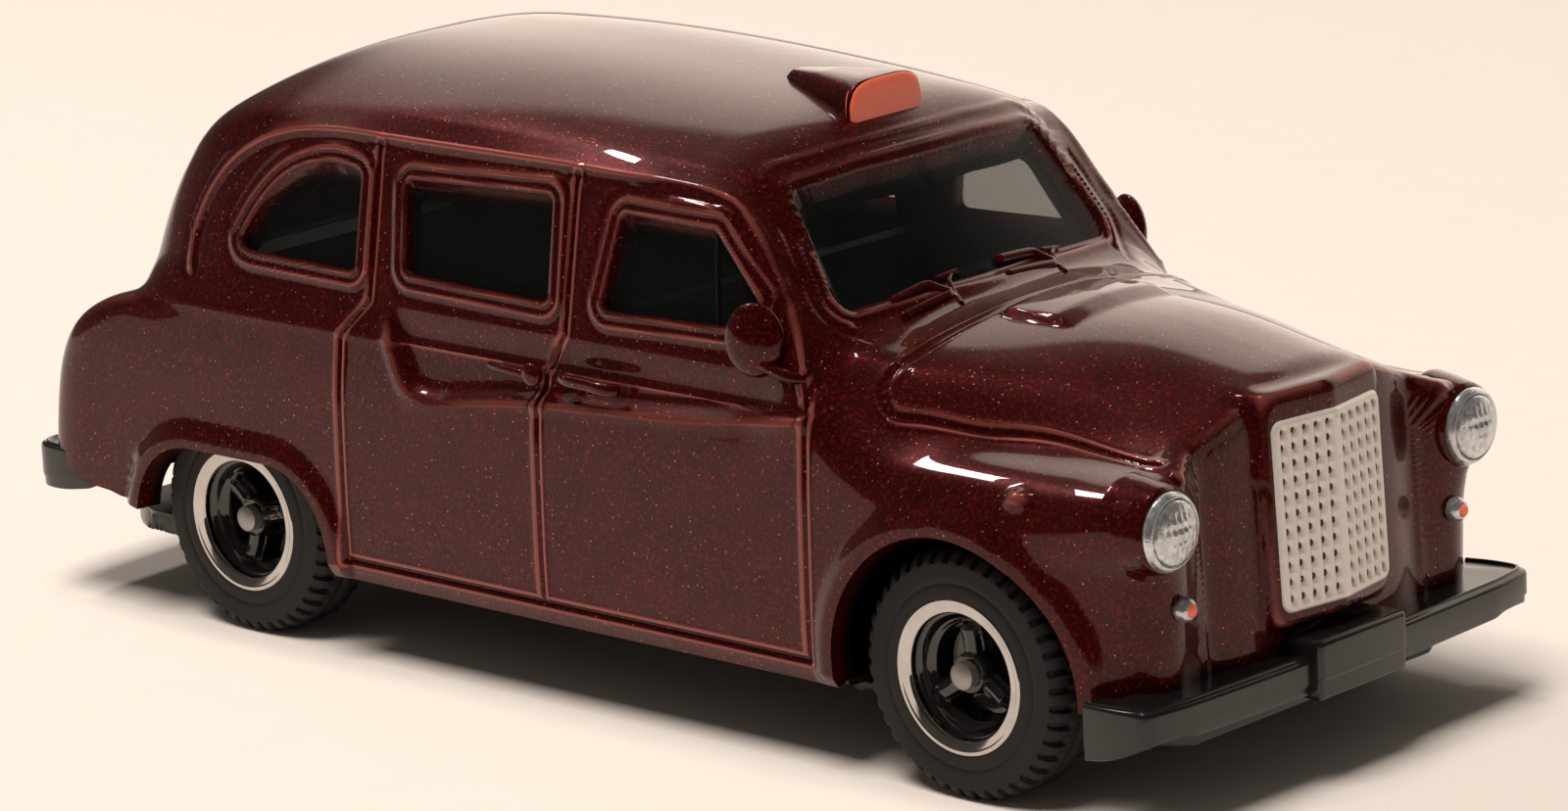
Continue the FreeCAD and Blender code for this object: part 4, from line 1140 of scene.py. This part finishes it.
lampSpot = (32.62, 10.48, 12.9)
collar = evenly([(0.0, -2.6), (2.25, -2.6), (2.12, -1.7), (1.98, -1.0), (1.90, -0.62), (1.82, -0.50), (1.70, -0.47),
                 (0.0, -0.5)], 0.15)
bezel = roundedLine([(0, -2.2), (1.55, -2.2), (1.62, -0.55), (1.71, -0.50), (1.74, -0.34), (1.66, -0.16),
                     (1.52, -0.06), (1.44, -0.12), (1.42, -0.34), (0.0, -0.36)], 0.06, 3)[:-1]
lensLine = [(r, 0.30 * (1 - (r / 1.4) ** 2)) for r in np.linspace(0, 1.36, 22)] \
    + [(1.42, -0.10), (1.42, -0.34), (0, -0.34)]
lensGrid = turned(lensLine, 120, "x")
flutes = 0.045 * np.cos(lensGrid[..., 1] * 2 * np.pi / 0.36) + 0.03 * np.cos(lensGrid[..., 2] * 2 * np.pi / 0.55)
lensGrid[..., 0] += flutes * bump(np.hypot(lensGrid[..., 1], lensGrid[..., 2]), 1.5)
addBoth("headlamp_collar", turned(collar, 96, "x", lampSpot), candyPaint)
addBoth("headlamp_bezel", turned(bezel, 96, "x", lampSpot), lampSilver)
addBoth("headlamp_lens", lensGrid + lampSpot, lampSilver, sharp=70)

indicator = {
    # radius and distance forward
    "centre": (32.15, 9.5, 9.3),
    "stalk": [(0, -1.3), (0.66, -1.3), (0.60, -0.45), (0.52, -0.18), (0.0, -0.16)],
    "bulb": [(0.0, -0.3), (0.50, -0.30), (0.57, -0.14), (0.56, 0.05), (0.47, 0.25), (0.33, 0.36), (0.0, 0.38)],
    "tip": [(0.0, 0.30), (0.30, 0.30), (0.30, 0.37), (0.24, 0.46), (0.13, 0.52), (0.0, 0.54)],
}
for part, count, finish, sharp in (("stalk", 40, candyPaint, 35), ("bulb", 40, lampSilver, 60),
                                   ("tip", 32, orangePaint, 60)):
    addBoth("indicator_" + part, turned(indicator[part], count, "x", indicator["centre"]), finish, sharp=sharp)

mirror = {"centre": (11.2, 12.72, 18.78), "radius": 1.68, "depth": 0.62, "backDepth": 0.38, "narrow": 0.84,
          "turn": -20, "arm": [(11.7, 12.85, 17.8), (12.5, 12.7, 17.5), (13.2, 12.45, 17.3), (13.6, 12.0, 17.2)]}
angle = np.linspace(0, np.pi, 36)[:, None]
around = np.linspace(0, 2 * np.pi, 61)[None]
dome = np.stack([mirror["radius"] * mirror["narrow"] * np.sin(angle) * np.cos(around),
                 np.where(np.cos(angle) > 0, mirror["depth"], mirror["backDepth"]) * np.cos(angle) + 0 * around,
                 mirror["radius"] * np.sin(angle) * np.sin(around)], -1)
dome = dome @ np.array(Matrix.Rotation(math.radians(mirror["turn"]), 3, "Z")).T
addBoth("mirror", dome + mirror["centre"], candyPaint)
addBoth("mirror_arm", carried(smoothPath(mirror["arm"], 6), oval(0.26, 0.28, 16)), candyPaint)

handle = {
    # the lines start at the side of the body: y is how far out from it they lie
    "side": 13.22,
    "front": [(-0.45, -0.1, 15.62), (0.1, 0.12, 15.62), (1.6, 0.20, 15.58), (2.7, 0.16, 15.52),
              (3.1, -0.05, 15.50)],
    "rear": [(-4.9, -0.18, 15.55), (-4.0, -0.02, 15.55), (-2.6, 0.02, 15.5)],
    "boss": (-2.05, 0.08, 15.56), "bossRadius": 0.56, "bossFront": 0.34, "bossBack": 0.5,
}
fromSide = np.array([0, handle["side"], 0])
for name, count, section, ends in (("front", 8, oval(0.24, 0.29, 20, 2.4), 0.18),
                                   ("rear", 6, oval(0.17, 0.2, 16, 2.6), 0.12)):
    line = smoothPath(np.array(handle[name]) + fromSide, count)
    addBoth(name + "_handle", carried(line, section, ends=ends), candyPaint)
ball = [(handle["bossRadius"] * math.sin(a), handle["bossFront" if a < 1.57 else "bossBack"] * math.cos(a))
        for a in np.linspace(0, math.pi, 24)]
addBoth("handle_boss", turned(ball, 36, "y", handle["boss"] + fromSide), candyPaint)

sign = {"rear": 1.9, "front": 7.86, "half": 2.42, "base": 25.6, "narrowing": 0.13, "lean": 0.05,
        "top": ([0, 0.12, 0.5, 0.9, 1.0], [27.2, 27.72, 27.92, 27.98, 27.96]),
        # the face: share of the outline, then how far forward
        "face": [(0.0, -0.2), (0.985, -0.2), (0.985, 0.06), (0.955, 0.15), (0.90, 0.19), (0.6, 0.21), (0.0, 0.22)]}
station = np.linspace(0, 1, 46)[:, None]
halfWidth = np.minimum(sign["half"] * np.sqrt(station * 1.02) * (0.72 + 0.28 * station), sign["half"])
# a rounded block narrowing upwards: a superellipse of power 4 whose width shrinks with height
section = oval(1, 1, 64, 4.0)
top = np.interp(station, *sign["top"])
z = (sign["base"] + top) / 2 + (top - sign["base"]) / 2 * section[:, 1]
y = halfWidth * (1 - sign["narrowing"] * np.clip(section[:, 1], 0, 1) ** 1.5) * section[:, 0]
pod = np.stack([sign["rear"] + (sign["front"] - sign["rear"]) * station + 0 * y, y, z], -1)
end = pod[-1:].mean(1, keepdims=True)
addGrid("sign_pod", closedEnds(np.concatenate([pod, end + (pod[-1:] - end) * 0.97 + [0.05, 0, 0]])), candyPaint,
        sharp=50)
outline = pod[-1, :, 1:]
centre = outline.mean(0)
share, out = np.array(sign["face"]).T[:, :, None]
y, z = np.moveaxis(centre + (outline - centre) * share[..., None], -1, 0)
addGrid("sign_face", np.stack([sign["front"] + out - sign["lean"] * (z - 26.2), y, z], -1), orangePaint, sharp=45)

# bar between the halves of the front door window
bar = np.array([(7.93, 11.25, 23.2), (8.12, 11.6, 21.1), (8.33, 11.9, 19.0)])
addBoth("window_divider", carried(bar, oval(0.14, 0.12, 12), (1, 0, 0)), innerPlastic)


def behind(a, z):
    # x of the plain casting's back at a distance a from the middle and a height z
    spot = np.array([float(a)]), np.array([float(z)])
    return float(halved(lambda x: bodyValue(x, *spot) < 0, np.array([-25.0]), np.array([-40.0]), 30)[0])


# tail lamp on the rear wing and a blank plate under the boot lid
lampBack = min(behind(10.6, 12.9), behind(9.8, 12.9))
addBoth("tail_lamp", roundedBox((lampBack - 0.12, 9.7, 11.9), (lampBack + 1.6, 10.9, 14.1), 0.5, 8), redPaint)
plateBack = behind(0, 10.0)
addGrid("rear_plate", roundedBox((plateBack - 0.18, -3.1, 9.2), (plateBack + 0.6, 3.1, 10.9), 0.16, 5), platePaint)


def onCasting(x, a):
    # height of the plain casting over x and a
    return halved(lambda z: bodyValue(x, np.abs(a), z) < 0, np.full(x.shape, 10.0), np.full(x.shape, 30.0), 30)


def ridge(name, line, width, height):
    # a moulded ridge lying on the casting along a line of (x, y)
    line = evenly(line, 0.12)
    z = onCasting(line[:, 0], line[:, 1])
    path = np.column_stack([line[:, 0], line[:, 1], z])
    addGrid(name, carried(path, oval(width, height, 16), ends=width * 0.8), candyPaint)


wiper = {
    "right": {"blade": [(14.35, -6.5), (14.35, -3.5), (14.25, -3.35), (13.55, -3.95), (13.50, -4.2), (13.52, -6.2)],
              "edge": [(15.1, -3.5), (13.64, -2.7), (13.46, -2.4), (13.42, -1.8), (13.42, -3.3)]},
    "left": {"blade": [(14.35, 0.5), (14.35, 3.6), (14.25, 3.75), (13.55, 3.2), (13.50, 2.95), (13.50, 0.9)],
             "edge": [(15.0, 3.7), (13.66, 4.3), (13.50, 4.55), (13.46, 5.05), (13.46, 3.85)]},
}
for name, lines in wiper.items():
    ridge("wiper_" + name, np.array(lines["blade"]), 0.22, 0.30)
    ridge("wiper_edge_" + name, np.array(lines["edge"]), 0.12, 0.16)


def bumperBar(outline, section, radius):
    # outline rows: outer x, outer a, inner x, inner a, low, top; the section runs from inner to outer
    line = roundedLine(outline, radius, 5, closed=False)
    line = np.concatenate([line * [1, -1, 1, -1, 1, 1], line[::-1][1:]])
    outerX, outerY, innerX, innerY, low, top = line.T[:, :, None]
    share, level, upward = np.array(section).T
    x = innerX + (outerX - innerX) * share
    y = innerY + (outerY - innerY) * share
    z = np.where(level == 1, top, np.where(level == 0, low + (top - low) * 0.28, low)) + upward
    points = np.stack([x, y, z + 0 * x], -1)
    return closedEnds(np.concatenate([points, points[:, :1]], axis=1))


bumperSection = [
    # share of the way out, level (1 top, 0 step, -1 low), then a step up or down
    (0.0, 1, 0.0), (0.80, 1, 0.0), (0.82, 1, 0.05), (0.835, 1, 0.12), (0.86, 1, 0.14), (0.885, 1, 0.12),
    (0.90, 1, 0.04), (0.93, 1, 0.0), (0.975, 1, -0.03), (0.992, 1, -0.09), (1.0, 1, -0.2), (1.0, 0, 0.06),
    (0.995, 0, 0.0), (0.97, -1, 0.42), (0.965, -1, 0.10), (0.955, -1, 0.03), (0.93, -1, 0.0), (0.0, -1, 0.0)]
frontBumper = [
    # outer x, a, inner x, a, low, top
    (29.75, 13.50, 29.75, 12.20, 3.27, 5.70), (30.80, 13.60, 30.4, 12.2, 3.42, 5.76),
    (31.90, 13.62, 30.6, 12.1, 3.75, 5.80), (33.18, 13.52, 30.7, 11.9, 4.30, 5.84),
    (33.42, 12.20, 30.7, 11.6, 4.42, 5.84), (33.52, 11.20, 30.7, 11.0, 4.40, 5.82),
    (33.56, 10.60, 30.7, 10.6, 4.24, 5.82), (33.66, 7.00, 30.7, 7.0, 4.20, 5.80),
    (33.78, 3.00, 30.7, 3.0, 4.20, 5.80), (33.80, 0.00, 30.7, 0.0, 4.20, 5.80)]
rearBumper = [
    (-32.05, 13.30, -32.3, 12.3, 6.00, 7.20), (-32.60, 13.42, -32.8, 12.3, 5.70, 7.42),
    (-34.60, 13.50, -33.8, 12.3, 5.38, 7.46), (-36.20, 13.30, -34.4, 11.9, 5.30, 7.44),
    (-37.05, 12.50, -34.6, 11.0, 5.22, 7.36), (-37.45, 10.50, -34.6, 9.6, 5.18, 7.25),
    (-37.75, 5.00, -34.6, 5.0, 5.10, 7.15), (-37.87, 0.00, -34.6, 0.0, 5.10, 7.15)]
addGrid("front_bumper", bumperBar(frontBumper, bumperSection, 0.9), blackPlastic, sharp=40)
addGrid("rear_bumper", bumperBar(rearBumper, bumperSection, 1.1), blackPlastic, sharp=40)
addGrid("bumper_block", roundedBox((31.0, -3.05, 4.72), (34.25, 3.05, 6.62), 0.28), blackPlastic)
addGrid("bumper_block_foot", roundedBox((31.0, -3.02, 3.93), (34.19, 3.02, 5.2), 0.22), blackPlastic)

pan = {"bottom": 2.9, "top": 4.2, "drop": 0.53, "edge": 0.35, "step": 0.95, "stepAt": 9.9,
       # x and half width of its outline
       "outline": [(-34.4, 8.6), (-33.6, 9.5), (-31.5, 10.6), (-29.15, 10.8), (-28.95, 8.5), (-15.95, 8.5),
                   (-15.75, 12.6), (15.75, 12.6), (15.95, 8.8), (28.8, 8.8), (29.0, 11.2), (30.4, 10.6),
                   (31.4, 8.5)]}
panX = spread(-34.4, 31.4, 0.30, [(-22.5, 1.8, 0.12), (-29.0, 0.5, 0.08), (-15.9, 0.5, 0.08), (15.9, 0.5, 0.08),
                                  (28.9, 0.5, 0.08)])
acrossShare = np.linspace(-1, 1, 171)
x = panX[:, None] + 0 * acrossShare
y = np.interp(panX, *zip(*pan["outline"]))[:, None] * acrossShare


def raisedBlock(x0, x1, y0, y1, slope=0.18, x=x, y=y):
    # 1 inside a rectangle, falling to 0 over slope at its edge
    inside = np.minimum(np.minimum(x - x0, x1 - x), np.minimum(y - y0, y1 - y))
    return ease(-slope / 2, slope / 2, inside)


def raisedTube(distance, radius):
    # half round, 1 at its middle and 0 at radius
    return np.sqrt(np.clip(1 - (distance / radius) ** 2, 0, 1))


# the underside stands down in blocks, the exhaust and axle tubes, and thin stiffening ribs
drop = pan["drop"] * np.maximum.reduce([
    0.75 * raisedBlock(-5.5, 5.5, -5.5, 5.5), 0.85 * raisedBlock(16.0, 24.7, -3.2, 3.2, 0.5),
    0.8 * raisedBlock(9.0, 16.2, -2.0, 2.0, 0.5), 0.9 * raisedBlock(-18.5, -11.0, 4.2, 8.3, 0.6),
    0.85 * raisedBlock(-7.5, 5.5, -9.0, -6.6, 0.7),
    raisedTube(y, 0.6) * raisedBlock(-22.5, 9.0, -1, 1),
    raisedTube(x + 22.5, 0.65) * raisedBlock(-24, -21, -7.6, 7.6),
    raisedTube(np.hypot(x + 22.5, y), 1.5),
    0.8 * raisedTube(y + 7.8, 0.45) * raisedBlock(-31.5, 17.5, -8.6, -7),
    0.35 * raisedBlock(-30.0, 28.5, 6.0, 6.5, y=np.abs(y)),
    0.35 * raisedBlock(-14.8, 14.8, 11.2, 11.9, y=np.abs(y)),
    0.3 * raisedBlock(-0.3, 0.3, -11.4, 11.4, x=np.abs(x) - 9.5),
    0.3 * raisedBlock(-0.3, 0.3, -11.4, 11.4, x=x + 13.0), 0.3 * raisedBlock(-0.3, 0.3, -11.4, 11.4, x=x - 14.0)])
nearEdge = 1 - np.clip((1 - np.abs(acrossShare)) * 12 / pan["edge"], 0, 1)
edgeRise = pan["edge"] * (1 - np.sqrt(np.clip(1 - nearEdge ** 2, 0, 1)))
# beside the doors the underside steps up, so the sills hide it
bottomZ = pan["bottom"] - drop + edgeRise + pan["step"] * ease(0.0, 0.35, np.abs(y) - pan["stepAt"])
under = np.stack([x, y, bottomZ], -1)
over = np.stack([x, y, np.full(x.shape, pan["top"])], -1)[:, ::-1][:, ::10]
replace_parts(addGrid("base_pan", closedEnds(np.concatenate([under, over, under[:, :1]], axis=1)), blackPlastic,
                    sharp=40), "base_plate")
print("bumpers and base are made")

for name, node in frame["nodes"].items():
    node.data.materials.clear()
    finish = (blackPlastic if name == "base_plate" else innerPlastic if name == "interior_tub"
              else rivetMetal if "rivet" in name else steel)
    node.data.materials.append(finish.material)
